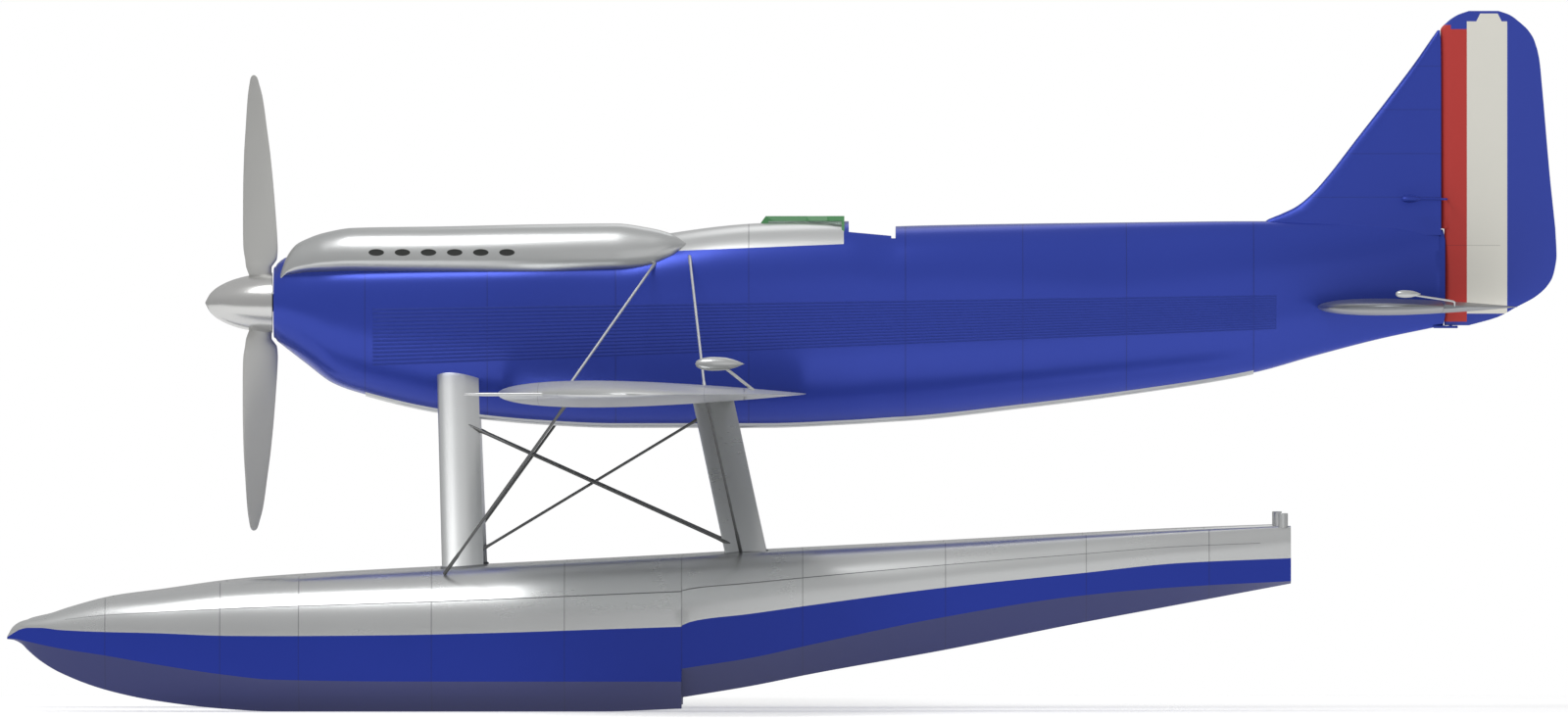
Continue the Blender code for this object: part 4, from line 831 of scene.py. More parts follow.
def rudder_rings(heights, rows):
    """An ellipse from the front to the hinge line, then a slow taper to the edge."""
    front, trail, half = smooth(heights, rows).T[:, :, None]
    reach = np.maximum(0.012, HINGE["rudder"] - front)
    turn, share = np.linspace(0, math.pi / 2, 12), np.linspace(0, 1, 24)[1:]
    start = front + reach
    x = x_of(np.concatenate([front + reach * (1 - np.cos(turn)), start + (trail - start) * share], axis=1))
    y = np.concatenate([half * np.sin(turn), half * smooth(share, RUDDER_TAPER)], axis=1)
    z = heights[:, None]
    return folded(grid_of(x, y, z), grid_of(x, -y, z))


rings = np.concatenate([
    rudder_rings(spaced(RUDDER_FOOT, NOTCH[0], 36), RUDDER[:9]),
    rudder_rings(np.concatenate([spaced(NOTCH[1], 3.80, 24), spaced(3.82, RUDDER_TOP, 22)]), RUDDER[9:]),
])
solid("rudder_skin", rings, "rudder_stripes", body="rudder", stands_for="rudder")
upright_rod("rudder_lower_pin", 2.171, 2.20, 0.010, 24, paint="wire_steel", body="rudder")
print("rudder", round(RUDDER_TOP - RUDDER_FOOT, 3), "m high")

# %% [markdown]
# Wings and tailplanes share one plan rule and one section: edges that run straight and
# then round off like a superellipse towards the tip, and a plain symmetric aerofoil.
# The moving parts behind the hinge lines have noses that are parts of circles about
# the hinges, and the fixed part is cut away round them.

# %% Plan and section of the flying surfaces
WING = {"lead": 2.781, "trail": 4.517, "height": 1.797, "thickness": 0.087,
        "tip": 3.56, "start": 1.83, "power": 2.2, "half": SPAN / 2}
TAILPLANE = {"lead": 7.427, "trail": 8.556, "height": 2.290, "thickness": 0.085,
             "tip": 8.02, "start": 0.45, "power": 2.4, "half": 1.21}
EDGE_HALF = 0.0012


def plan(surface, y):
    """Edges at a distance from the centre line: the chord shrinks by the root of one less
    the reach to a power, and stays whole before the reach begins."""
    reach = np.clip((np.abs(y) - surface["start"]) / (surface["half"] - surface["start"]), 0.0, 1.0)
    scale = np.maximum(0.06, (1 - reach ** surface["power"]) ** (1 / surface["power"]))
    tip = surface["tip"]
    return tip - (tip - surface["lead"]) * scale, tip + (surface["trail"] - tip) * scale


def stations_out(surface, root, count):
    """Distances out: even to where the tip begins, then crowding towards it."""
    start = surface["start"]
    return np.concatenate([root, start + (surface["half"] - start) * np.sin(np.linspace(0, math.pi / 2, count)[1:])])


def foil(surface, share, chord):
    """Half thickness of a symmetric four-digit section at a share of its chord."""
    return 5 * surface["thickness"] * (0.2969 * np.sqrt(share) - 0.1260 * share - 0.3516 * share**2
                                       + 0.2843 * share**3 - 0.1015 * share**4) * chord


def wing_rings(surface, y, side):
    """Sections over the top to the trailing edge and back underneath."""
    y = y[:, None]
    lead, trail = plan(surface, y)
    share = spaced(0.0, 1.0, 34, ends_dense=True)
    half = foil(surface, share, trail - lead)
    half = np.where(share > 0.01, np.maximum(half, EDGE_HALF), half)
    x, level = x_of(lead) + share * (trail - lead), surface["height"]
    return folded(grid_of(x, side * y, level + half), grid_of(x, side * y, level - half))


print("wing chord", round(WING["trail"] - WING["lead"], 3), "m")

# %% Moving parts behind a hinge line
def hinge_arc(surface, y, hinge, gap=0.0):
    """A half circle about the hinge line, as thick as the section there and a gap more."""
    lead, trail = plan(surface, y)
    share = np.minimum(0.9, (hinge - lead) / (trail - lead))
    radius = np.maximum(0.004, foil(surface, share, trail - lead)) + gap
    turn = np.radians(np.linspace(90, 270, 15))
    return radius, x_of(hinge) + radius * np.cos(turn), surface["height"] + radius * np.sin(turn)


def flap_rings(surface, y, side, hinge, sweep=0.0):
    """A half circle about the hinge line, then the section's own curve to the edge. Sweep
    moves the inner end outwards behind the hinge."""
    y = y[:, None]
    lead, trail = plan(surface, y)
    radius, nose_x, nose_z = hinge_arc(surface, y, hinge)
    station = hinge + (trail - hinge) * np.linspace(0, 1, 14)[1:]
    at_hinge, behind = (np.clip((s - lead) / (trail - lead), 0, 1) for s in (hinge, station))
    ratio = radius / np.maximum(1e-6, foil(surface, at_hinge, trail - lead))
    half = np.maximum(foil(surface, behind, trail - lead) * np.minimum(ratio, 1.0), EDGE_HALF)
    x = np.concatenate([nose_x, x_of(station), x_of(station)[:, ::-1]], axis=1)
    z = np.concatenate([nose_z, surface["height"] - half, (surface["height"] + half)[:, ::-1]], axis=1)
    across = side * np.repeat(y, x.shape[1], axis=1)
    across[0] += side * np.maximum(0.0, x[0] - x_of(hinge)) * math.tan(math.radians(sweep))
    return grid_of(x, across, z)


def flap_room(surface, y, side, hinge):
    """The cutter for a flap: its nose circle grown by the running gap, and all behind it."""
    _, x, z = hinge_arc(surface, y[:, None], hinge, GAP)
    far = np.full((len(y), 2), x_of(surface["trail"]) + 0.2)
    x, z = np.concatenate([x, far], axis=1), np.concatenate([z, z[:, -1:], z[:, :1]], axis=1)
    return solid("flap_room", grid_of(x, side * y[:, None], z), "bare_metal", body=None)


print("running gap:", GAP, "m")

# %% Wings and ailerons, tailplanes and elevators
for name, side in SIDES:
    wing = solid(f"wing_skin_{name}", wing_rings(WING, stations_out(WING, spaced(0.26, 1.83, 8), 44), side),
                 "wing_metal", stands_for=f"wing_{name}")
    carve(wing, flap_room(WING, spaced(2.20, 3.75, 16), side, HINGE["aileron"]))
    solid(f"aileron_skin_{name}", flap_rings(WING, spaced(2.20 + GAP, 3.75 - GAP, 16), side, HINGE["aileron"]),
          "wing_metal", body=f"aileron_{name}", stands_for=f"aileron_{name}")
    print("wing", name, len(wing.data.polygons), "faces")
for name, side in SIDES:
    # painted shade: tailplanes and elevators take the darker copy of the bare metal
    rings = wing_rings(TAILPLANE, stations_out(TAILPLANE, spaced(0.02, 0.45, 6), 34), side)
    tailplane = solid(f"tailplane_skin_{name}", rings, "tail_metal", stands_for=f"tailplane_{name}")
    carve(tailplane, flap_room(TAILPLANE, spaced(0.0, 1.30, 40), side, HINGE["elevator"]))
    y = np.concatenate([spaced(0.066, 0.45, 6), spaced(0.48, 1.155, 24)])
    solid(f"elevator_skin_{name}", flap_rings(TAILPLANE, y, side, HINGE["elevator"], sweep=23.0), "tail_metal",
          body="elevators", stands_for=f"elevator_{name}")
    print("tailplane", name, len(tailplane.data.polygons), "faces")

# %% [markdown]
# Each moving surface has lead weights on arms ahead of its hinge, shaped like drops so
# that the air hardly notices them. A drop is one profile turned about its own length.

# %% Mass balances
# share of the length, share of the radius
DROP = np.array([(0.0, 0.0), (0.015, 0.30), (0.06, 0.58), (0.18, 0.88), (0.34, 1.0), (0.58, 0.93), (0.78, 0.62),
                 (0.92, 0.25), (1.0, 0.0)])
# body, finish, nose station, tail station, height and radius of the drop, arm's points, arm's radius
BALANCES = {
    "aileron": ("aileron_{}", "bare_metal", 3.897, 4.172, 1.967, 0.039,
                [(4.037, 2.95, 1.967), (4.228, 2.95, 1.815)], 0.009),
    "elevator": ("elevators", "bare_metal", 7.850, 7.995, 2.362, 0.022,
                 [(7.91, 1.25, 2.362), (8.185, 1.25, 2.320), (8.185, 1.145, 2.290)], 0.0055),
    "rudder": ("rudder", "fin_blue", 7.904, 8.020, 2.904, 0.020,
               [(7.949, 0.165, 2.904), (8.163, 0.120, 2.904), (8.163, 0.020, 2.904)], 0.006),
}


def drop_rings(station, tail, y, z, radius):
    """A smooth profile of radius against length, turned about a line that runs aft."""
    share = spaced(0.0, 1.0, 30, ends_dense=True)
    profile = np.stack([share * (tail - station), np.maximum(radius * smooth(share, DROP), 0.0004)], axis=1)
    return turned_along(station, y, z, profile, 16)


def bent(points):
    """A path through a few points, each corner rounded by a parabola."""
    corners = []
    t = np.linspace(0, 1, 6)[:, None]
    for a, b, c in zip(points, points[1:], points[2:]):
        reach = min(math.dist(a, b), math.dist(b, c), 0.05) * 0.5
        before, after = b + unit(a - b) * reach, b + unit(c - b) * reach
        corners.append((1 - t) ** 2 * before + 2 * t * (1 - t) * b + t ** 2 * after)
    return np.concatenate([points[:1], *corners, points[-1:]])


for name, side in SIDES:
    for kind, (body, paint, nose, tail, z, drop_radius, arm, radius) in BALANCES.items():
        drop = drop_rings(nose, tail, side * arm[0][1], z, drop_radius)
        several(f"{kind}_weight_{name}", [drop, tube_rings(bent(placed(arm, side)), radius, 16)], paint,
                body=body.format(name), stands_for=f"{kind}_balance_{name}")
print("balances:", 2 * len(BALANCES))

# %% [markdown]
# The two banks of cylinders stand above the cowl under long bare metal covers. Each is
# a row of ovals that rises at the nose, runs level and sinks into the deck. Six oval
# exhausts open through each cover.

# %% Cylinder covers
# station, top, centre height, offset from the middle, half width, depth below the centre
COVER = np.array([
    (1.530, 2.490, 2.450, 0.110, 0.066, 0.010), (1.575, 2.590, 2.500, 0.135, 0.086, 0.034),
    (1.620, 2.645, 2.520, 0.152, 0.098, 0.046), (1.669, 2.672, 2.530, 0.166, 0.106, 0.048),
    (1.780, 2.712, 2.550, 0.192, 0.118, 0.065), (1.947, 2.740, 2.560, 0.212, 0.128, 0.074),
    (2.448, 2.748, 2.562, 0.236, 0.134, 0.090), (3.004, 2.760, 2.565, 0.246, 0.134, 0.104),
    (3.438, 2.765, 2.570, 0.244, 0.130, 0.087), (3.616, 2.742, 2.590, 0.246, 0.112, 0.094),
    (3.750, 2.708, 2.630, 0.250, 0.078, 0.078), (3.838, 2.655, 2.642, 0.252, 0.014, 0.010),
])
EXHAUSTS = 2.078 + 0.1485 * np.arange(6)
EXHAUST_HEIGHT, EXHAUST_LONG, EXHAUST_TALL, EXHAUST_TURNS = 2.600, 0.042, 0.017, circle(28)
# how far proud of the cover, share of the mouth's size
MOUTH = ((-0.012, 1.0), (0.0016, 1.0), (0.0016, 0.86), (0.0004, 0.6), (0.0004, 0.05))


def cover_rings(at, side):
    """Half an ellipse above a centre and a flatter half below it, both read off a smooth table."""
    top, centre, offset, half, depth = smooth(at, COVER).T[:, :, None]
    turns = circle(64)
    rise = np.where(np.sin(turns) > 0, top - centre, depth)
    return grid_of(x_of(at)[:, None], side * offset + half * np.cos(turns), centre + rise * np.sin(turns))


def exhaust_ring(station, side, lift, long_share, tall_share):
    """An oval on the cover's side, which is its upper ellipse read sideways, and a lift more."""
    at = station + EXHAUST_LONG * long_share * np.cos(EXHAUST_TURNS)
    z = EXHAUST_HEIGHT + EXHAUST_TALL * tall_share * np.sin(EXHAUST_TURNS)
    top, centre, offset, half, _ = smooth(at, COVER).T
    share = np.clip((z - centre) / (top - centre), 0, 1)
    return grid_of(x_of(at), side * (offset + half * np.sqrt(1 - share**2) + lift), z)


def exhaust_lip(station, side):
    """A small round bead on an oval a little larger than the mouth."""
    bead = [exhaust_ring(station, side, 0.0005 + 0.0022 * math.sin(turn), 1 + 0.05 * math.cos(turn),
                         1 + 0.12 * math.cos(turn)) for turn in circle(8)]
    return np.transpose(bead, (1, 0, 2))


for name, side in SIDES:
    at = np.concatenate([spaced(1.530, 1.95, 34), spaced(1.99, 3.42, 40), spaced(3.45, 3.838, 28)])
    solid(f"cylinder_cover_{name}", cover_rings(at, side), "bare_metal", stands_for=f"cylinder_fairing_{name}")
    several(f"exhaust_mouths_{name}", [[exhaust_ring(station, side, lift, share, share) for lift, share in MOUTH]
                                       for station in EXHAUSTS], "sooty_steel")
    lips = joined([exhaust_lip(station, side) for station in EXHAUSTS], caps=False, ring=True)
    piece(f"exhaust_lips_{name}", *lips, "sooty_steel")
print("exhausts a side:", len(EXHAUSTS))

# %% [markdown]
# The intake lies in the valley between the banks. The photograph doesn't show it, so it
# is kept plain: an arch on straight sides, with a round mouth cut into its front.

# %% Air intake between the banks
# station, top, half width
INTAKE = np.array([(1.95, 2.690, 0.060), (2.30, 2.700, 0.066), (2.90, 2.690, 0.060), (3.35, 2.650, 0.040)])
SCOOP_SHOULDER, SCOOP_FOOT = 2.60, 2.50
at = spaced(1.95, 3.35, 40)
top, half = smooth(at, INTAKE).T[:, :, None]
turns = np.linspace(0, math.pi, 25)
y = np.concatenate([half * np.cos(turns), -half, half], axis=1)
z = np.concatenate([SCOOP_SHOULDER + (top - SCOOP_SHOULDER) * np.sin(turns), np.full((len(at), 2), SCOOP_FOOT)], axis=1)
scoop = solid("air_scoop", grid_of(x_of(at)[:, None], y, z), "bare_metal", stands_for="air_intake")
mouth = turned_along(1.90, 0, 2.640, [(0, 0.030), (0.20, 0.022)])
carve(scoop, solid("scoop_mouth", mouth, "bare_metal", body=None))
print("intake:", len(scoop.data.polygons), "faces")

# %% [markdown]
# The spinner is a pointed shell, a single profile turned about the shaft. The two
# blades pass through it into the hub. A blade's chord is set at the angle whose tangent
# is the pitch over the circle that the point travels, so it twists from root to tip.

# %% Spinner and propeller
# station, radius
SPINNER = np.array([(1.101, 0.006), (1.131, 0.056), (1.195, 0.104), (1.278, 0.138), (1.348, 0.155), (1.419, 0.166),
                    (1.483, 0.172)])
# radius, chord, thickness, station of the mid-chord
BLADE = np.array([
    (0.050, 0.080, 0.075, 1.420), (0.110, 0.095, 0.072, 1.418), (0.156, 0.131, 0.058, 1.415),
    (0.205, 0.150, 0.052, 1.406), (0.245, 0.187, 0.046, 1.418), (0.328, 0.210, 0.040, 1.415),
    (0.495, 0.216, 0.031, 1.409), (0.662, 0.218, 0.025, 1.403), (0.829, 0.211, 0.020, 1.397),
    (0.996, 0.185, 0.016, 1.391), (1.163, 0.146, 0.012, 1.385), (1.245, 0.098, 0.009, 1.380),
    (1.284, 0.062, 0.007, 1.378), (1.296, 0.022, 0.005, 1.377),
])
PITCH, SPINNER_NOSE, SPINNER_LENGTH, TIP_RADIUS = 5.6, 1.101, 0.382, 1.296
at = SPINNER_NOSE + SPINNER_LENGTH * np.linspace(0, 1, 48) ** 1.6
profile = [(0.0, 0.0004), *zip(at - SPINNER_NOSE + 0.0002, smooth(at, SPINNER)), (0.382, 0.160), (0.378, 0.150)]
solid("spinner_skin", turned_along(SPINNER_NOSE, 0, THRUST, profile, 72), "spinner_metal", body="propeller",
      stands_for="spinner")


def blade_rings(direction):
    """Each section is a flattened oval turned by the helix angle at its radius."""
    round_tip = 1.20 + (TIP_RADIUS - 1.20) * np.sin(np.linspace(0, math.pi / 2, 24)[1:])
    radius = np.concatenate([spaced(0.05, 1.20, 60), round_tip])
    chord, thickness, station = smooth(radius, BLADE).T[:, :, None]
    radius, turns = radius[:, None], circle(32)
    helix = np.arctan(PITCH / (2 * math.pi * radius))
    along = chord / 2 * np.cos(turns)
    across = thickness / 2 * np.sign(np.sin(turns)) * np.abs(np.sin(turns)) ** 1.15
    return grid_of(x_of(station) - along * np.sin(helix) + across * np.cos(helix),
                   direction * (along * np.cos(helix) + across * np.sin(helix)), THRUST + direction * radius)


several("propeller_blades", [blade_rings(1), blade_rings(-1)], "propeller_metal", body="propeller",
        stands_for="propeller")
solid("propeller_hub", turned_along(1.362, 0, THRUST, [(0, 0.090), (0.005, 0.095), (0.107, 0.095), (0.112, 0.090),
                                                       (0.112, 0.050), (0.318, 0.050)], 48),
      "engine_iron", body="propeller")
print("propeller diameter", 2 * TIP_RADIUS)

# %% [markdown]
# A float is a long hull with a V bottom, a sharp chine, an upright side and a rounded
# deck, and its bottom has a step where it lifts off the water. The columns of the grid
# are shared out so that the colour changes exactly at the edge between side and deck.

# %% Floats
# station, deck, side top, chine, keel, half beam
FLOAT = np.array([
    (0.000, 0.424, 0.420, 0.414, 0.410, 0.006), (0.033, 0.480, 0.442, 0.412, 0.406, 0.022),
    (0.078, 0.510, 0.466, 0.404, 0.386, 0.042), (0.120, 0.522, 0.474, 0.396, 0.345, 0.056),
    (0.190, 0.538, 0.474, 0.380, 0.286, 0.076), (0.300, 0.574, 0.462, 0.358, 0.220, 0.102),
    (0.556, 0.641, 0.451, 0.318, 0.123, 0.150), (0.834, 0.679, 0.445, 0.270, 0.062, 0.194),
    (1.252, 0.736, 0.430, 0.208, 0.013, 0.240), (1.502, 0.757, 0.429, 0.183, 0.000, 0.262),
    (2.170, 0.796, 0.434, 0.173, 0.000, 0.297), (2.726, 0.824, 0.446, 0.172, 0.000, 0.310),
    (3.360, 0.856, 0.467, 0.172, 0.000, 0.312), (3.815, 0.880, 0.482, 0.172, 0.016, 0.310),
    (3.817, 0.880, 0.490, 0.245, 0.080, 0.310), (3.880, 0.884, 0.514, 0.255, 0.090, 0.309),
    (4.195, 0.902, 0.554, 0.304, 0.142, 0.303),
    (4.562, 0.921, 0.606, 0.384, 0.215, 0.290), (5.285, 0.957, 0.701, 0.534, 0.345, 0.250),
    (6.064, 0.999, 0.783, 0.656, 0.500, 0.190), (6.620, 1.027, 0.840, 0.705, 0.604, 0.142),
    (7.260, 1.051, 0.868, 0.738, 0.724, 0.078),
])
STEP = 3.816
FORE, AFT = FLOAT[FLOAT[:, 0] < STEP], FLOAT[FLOAT[:, 0] > STEP]
BOTTOM_STEPS, SIDE_STEPS = 6, 5
SEAM_TURN, SEAM_RUN = (29.5, 30.5), (0.317, 7.070)
DECK_TURNS = np.radians([*range(0, 30, 5), *SEAM_TURN, *range(35, 91, 5)])


def float_rings(at, rows, side):
    """Keel to chine and chine to paint edge are straight, then a quarter ellipse to the top."""
    deck, edge, chine, keel, half = smooth(at, rows).T[:, :, None]
    share = np.linspace(0, 1, BOTTOM_STEPS + 1)[:-1]
    y = [half * share, np.broadcast_to(half, (len(at), SIDE_STEPS)), half * np.cos(DECK_TURNS)]
    z = [keel + (chine - keel) * share, chine + (edge - chine) * np.linspace(0, 1, SIDE_STEPS + 1)[:-1],
         edge + (deck - edge) * np.sin(DECK_TURNS)]
    y, z = np.concatenate(y, axis=1), np.concatenate(z, axis=1)
    y, z = np.concatenate([y, -y[:, -2:0:-1]], axis=1), np.concatenate([z, z[:, -2:0:-1]], axis=1)
    return grid_of(x_of(at)[:, None], side * TRACK / 2 + y, z)


paint = [0] * BOTTOM_STEPS + [1] * SIDE_STEPS + [2] * (len(DECK_TURNS) - 1)
seam = [0] * (BOTTOM_STEPS + SIDE_STEPS) + [int(SEAM_TURN[0] < turn < SEAM_TURN[1])
                                            for turn in np.degrees(DECK_TURNS[:-1] + DECK_TURNS[1:]) / 2]
paint, seam = (np.array(half + half[::-1]) for half in (paint, seam))
at = np.concatenate([spaced(0, 0.30, 30), spaced(0.33, 3.815, 80), spaced(3.817, 7.26, 80)])
seamed = ((at[:-1] > SEAM_RUN[0]) & (at[:-1] < SEAM_RUN[1]))[:, None]
for name, side in SIDES:
    rings = np.concatenate([float_rings(at[at < STEP], FORE, side), float_rings(at[at > STEP], AFT, side)])
    solid(f"float_hull_{name}", rings, ["keel_blue", "float_blue", "float_metal", "float_seam"],
          face_paint=[*np.ravel(paint + seamed * seam), 0, 0], stands_for=f"float_{name}", smooth_angle=24.0)
print("float length", FLOAT[-1, 0], "m")

# %% [markdown]
# A short post stands on the stern of each float for a mooring line. It is one profile
# turned about an upright line, with its upper edge rounded off.

# %% Mooring posts
POST_PROFILE = [(0, 0.028), (0.088, 0.028), (0.0915, 0.0265), (0.092, 0.024)]
for name, side in SIDES:
    foot, above = placed([(7.216, TRACK / 2, 1.03), (7.216, TRACK / 2, 2.03)], side)
    solid(f"mooring_bollard_{name}", turned(foot, above, POST_PROFILE), "bare_metal",
          stands_for=f"mooring_post_{name}")
print("post top at", round(foot[2] + 0.092, 3), "m")

# %% [markdown]
# Four streamlined struts carry the floats. Each is one section moved along a straight
# line, and its ends run on inside the hull and the fuselage.

# %% Struts
STRUT_CHORD, STRUT_THICKNESS = 0.236, 0.062
# share of the chord, share of the half thickness
STRUT_SHAPE = np.array([(0.0, 0.0), (0.015, 0.25), (0.05, 0.45), (0.16, 0.78), (0.36, 1.0), (0.62, 0.84), (0.85, 0.46),
                        (1.0, 0.10)])
STRUTS = {
    "front": ((2.537, 0.217, 2.000), (2.580, 1.225, 0.740)),
    "rear": ((3.976, 0.30, 1.830), (4.198, 1.145, 0.800)),
}


def strut_point(kind, side, share):
    """A point on the strut's middle line."""
    top, foot = placed(STRUTS[kind], side)
    return top + (foot - top) * share


def strut_rings(kind, side, rows=16):
    """The level section at even steps down the strut's line."""
    x, y, z = strut_point(kind, side, np.linspace(0, 1, rows)[:, None]).T[:, :, None]
    chord = spaced(0, 1, 26, ends_dense=True)
    width = smooth(chord, STRUT_SHAPE) * STRUT_THICKNESS / 2
    x = x + STRUT_CHORD * (chord - 0.5)
    return folded(grid_of(x, y + width, z), grid_of(x, y - width, z))


for name, side in SIDES:
    for kind in STRUTS:
        solid(f"{kind}_float_strut_{name}", strut_rings(kind, side), "bare_metal", stands_for=f"{kind}_strut_{name}")
print("struts:", 2 * len(STRUTS))

# %% [markdown]
# A low collar seals each strut to the deck of its float. It is the strut's own section,
# made a little larger and let down along the strut until it meets the curved deck.

# %% Collars at the feet of the struts
def deck_height(points, side):
    """The float's deck over a point: its quarter ellipse at that station and offset."""
    rows = AFT if points[0, 0] > x_of(STEP) else FORE
    deck, edge, _, _, half = smooth(points[:, 0] - x_of(0.0), rows).T
    offset = np.clip((points[:, 1] - side * TRACK / 2) / half, -0.98, 0.98)
    return edge + (deck - edge) * np.sqrt(1 - offset**2)


def collar_rings(kind, side):
    """The strut's section grown outwards and slid along the strut until it meets the deck,
    at three heights over it, then back in to the strut."""
    top, foot = strut_rings(kind, side, 2)
    run, out = foot - top, top - top.mean(axis=0)
    rings = []
    for lift, grow in ((-0.004, 0.009), (0.006, 0.009), (0.010, 0.005), (0.011, -0.002)):
        ring = top + unit(out) * grow
        share = np.full(len(ring), 0.9)
        for _ in range(4):
            spot = ring + run * share[:, None]
            share = share + (spot[:, 2] - deck_height(spot, side) - lift) / -run[:, 2]
        rings.append(ring + run * share[:, None])
    return rings


for name, side in SIDES:
    several(f"strut_foot_collars_{name}", [collar_rings(kind, side) for kind in STRUTS], "collar_metal")
print("collars:", 2 * len(STRUTS))

# %% [markdown]
# Steel bracing wires tie the fuselage, the wings and the floats together, and cross
# between the struts. Each is a round rod with a slim fitting at both ends.

# %% Bracing wires
# upper wire from the fuselage to the wing, lower wire from the wing to the float
WING_WIRES = {
    "front": ((3.683, 0.24, 2.570), (3.150, 2.10, 1.797), (3.209, 2.10, 1.797), (2.475, 1.28, 0.78)),
    "rear": ((3.855, 0.26, 2.598), (3.951, 2.10, 1.797), (3.951, 2.10, 1.797), (4.150, 1.145, 0.90)),
}
# shares down the front and the rear strut, and a shift to one side, so that they pass
STRUT_WIRES = {"down_aft": (0.285, 0.896, 0.0095), "up_aft": (0.913, 0.116, -0.0095)}
WIRE_RADII = np.array([0.0105, 0.0105, 0.0095, 0.008, 0.008, 0.0095, 0.0105, 0.0105])
FITTING = np.array([0, 0.14, 0.16, 0.18])


def wire(name, ends, stands_for, paint="wire_steel"):
    """A rod whose radius swells a little near its ends, where its fittings are."""
    start, end = ends
    length = math.dist(start, end)
    share = np.concatenate([FITTING, length - FITTING[::-1]]) / length
    solid(name, tube_rings(start + (end - start) * share[:, None], WIRE_RADII, 14), paint, stands_for=stands_for)


for name, side in SIDES:
    for kind, points in WING_WIRES.items():
        points = placed(points, side)
        # painted light: the upper wire gets the lighter copy of the steel
        wire(f"{kind}_landing_wire_{name}", points[:2], f"{kind}_upper_wire_{name}", "wire_bright")
        wire(f"{kind}_float_wire_{name}", points[2:], f"{kind}_lower_wire_{name}")
    for kind, (front, rear, shift) in STRUT_WIRES.items():
        ends = [strut_point(strut, side, share) + (0, side * shift, 0)
                for strut, share in (("front", front), ("rear", rear))]
        wire(f"cross_wire_{kind}_{name}", ends, f"strut_wire_{kind}_{name}")
print("wires:", 2 * (2 * len(WING_WIRES) + len(STRUT_WIRES)))

# %% [markdown]
# Oil is cooled by a bare metal strip along the belly and by rows of fine tubes under
# the blue skin of the sides. The tubes show as low ridges that draw together towards
# the tail. Each ridge follows a height that changes evenly along the fuselage. The
# ridges are painted a darker blue than the skin, as painted shade for the thin shadow
# lines under them.

# %% Belly cooler and side ridges
at = spaced(2.014, REAR_END, 120)
turns = np.radians(spaced(255, 285, 15))
rise = 0.009 * np.minimum(1, 6 * np.sin(np.linspace(0, math.pi, 15)))
plate = np.concatenate([body_surface(at, turns, rise), body_surface(at, turns, -0.003)[:, ::-1]], axis=1)
solid("belly_cooler_plate", plate, "bare_metal", stands_for="belly_cooler")

RIDGES, RIDGE_HEIGHT = 15, 0.0025
# station, top and bottom of the rows at both ends
RIDGE_ENDS = np.array([(2.058, 2.2753, 1.9637), (7.193, 2.3532, 2.1696)])
# across a ridge: share of the pitch, share of the height
RIDGE_SHAPE = np.array([(-0.34, -0.6), (-0.30, 0.0), (-0.15, 0.8), (0.0, 1.0), (0.15, 0.8), (0.30, 0.0), (0.34, -0.6)])


def ridge_rings(share, side):
    """A low bump across the skin, carried from front to rear at a height that changes evenly."""
    at = spaced(*RIDGE_ENDS[:, 0], 90)
    run = (at - at[0]) / (at[-1] - at[0])
    high, low = (a + (b - a) * run for a, b in RIDGE_ENDS[:, 1:].T)
    heights = high + (low - high) * share + (high - low) / (RIDGES - 1) * RIDGE_SHAPE[:, :1]
    turn = np.stack([turn_at(at, height) for height in heights], axis=1)
    fade = np.minimum(1.0, np.minimum(run, 1 - run) * 60)[:, None]
    return body_surface(at, turn, RIDGE_HEIGHT * RIDGE_SHAPE[:, 1] * fade) * (1, side, 1)


for name, side in SIDES:
    # painted shade: the ridges' darker blue stands in for the shadow lines under them
    several(f"side_cooler_ridges_{name}", [ridge_rings(k / (RIDGES - 1), side) for k in range(RIDGES)], "ridge_blue")
print("ridges a side:", RIDGES)

# %% [markdown]
# Two pieces are left: a thin tube ahead of the port wing that feels the speed of the
# air, and the solids that are right as they are and only need their finish.

# %% Air-speed head
profile = [(0.0, 0.0035), (0.004, 0.0060), (0.05, 0.0068), (0.10, 0.0100), (0.51, 0.0100)]
solid("air_speed_head", turned_along(2.610, -3.99, WING["height"], profile, 20), "bare_metal", stands_for="pitot_head")
print("air-speed head", profile[-1][0], "m long")

# %% Windscreen, cockpit and inner pieces keep their solids
KEPT = {
    "windscreen_frame": PAINT["green_enamel"], "engine_block": PAINT["engine_iron"],
    **dict.fromkeys(("cockpit_floor", "cabin_bulkhead", "firewall", "instrument_panel"), PAINT["cabin_green"]),
    "windscreen_glass": surface("clear_pane", {"Base Color": (0.80, 0.90, 0.84, 1), "Roughness": 0.04,
                                               "Transmission Weight": 0.92, "IOR": 1.45})[0],
}
for kept, material in KEPT.items():
    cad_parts[kept].data.materials.clear()
    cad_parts[kept].data.materials.append(material)
print("kept nodes:", len(KEPT))

# %% [markdown]
# The seat is a bucket pressed from sheet, on a frame of tubes. Its profile runs over the
# front lip, along the pan, round a bend and up the back, and the sides are turned up.

# %% Seat bucket and frame
PAN_LEVEL, PAN_START, BACK_STATION, BEND, SEAT_TOP = 2.0225, 4.72, 5.0275, 0.05, 0.532
SEAT_SHEET, FLOOR_TOP = 0.002, 1.8603
TUBE_OUT, TUBE_UNDER, FRONT_LEG, REAR_LEG = 0.11, PAN_LEVEL - 0.0025, 4.75, 4.99


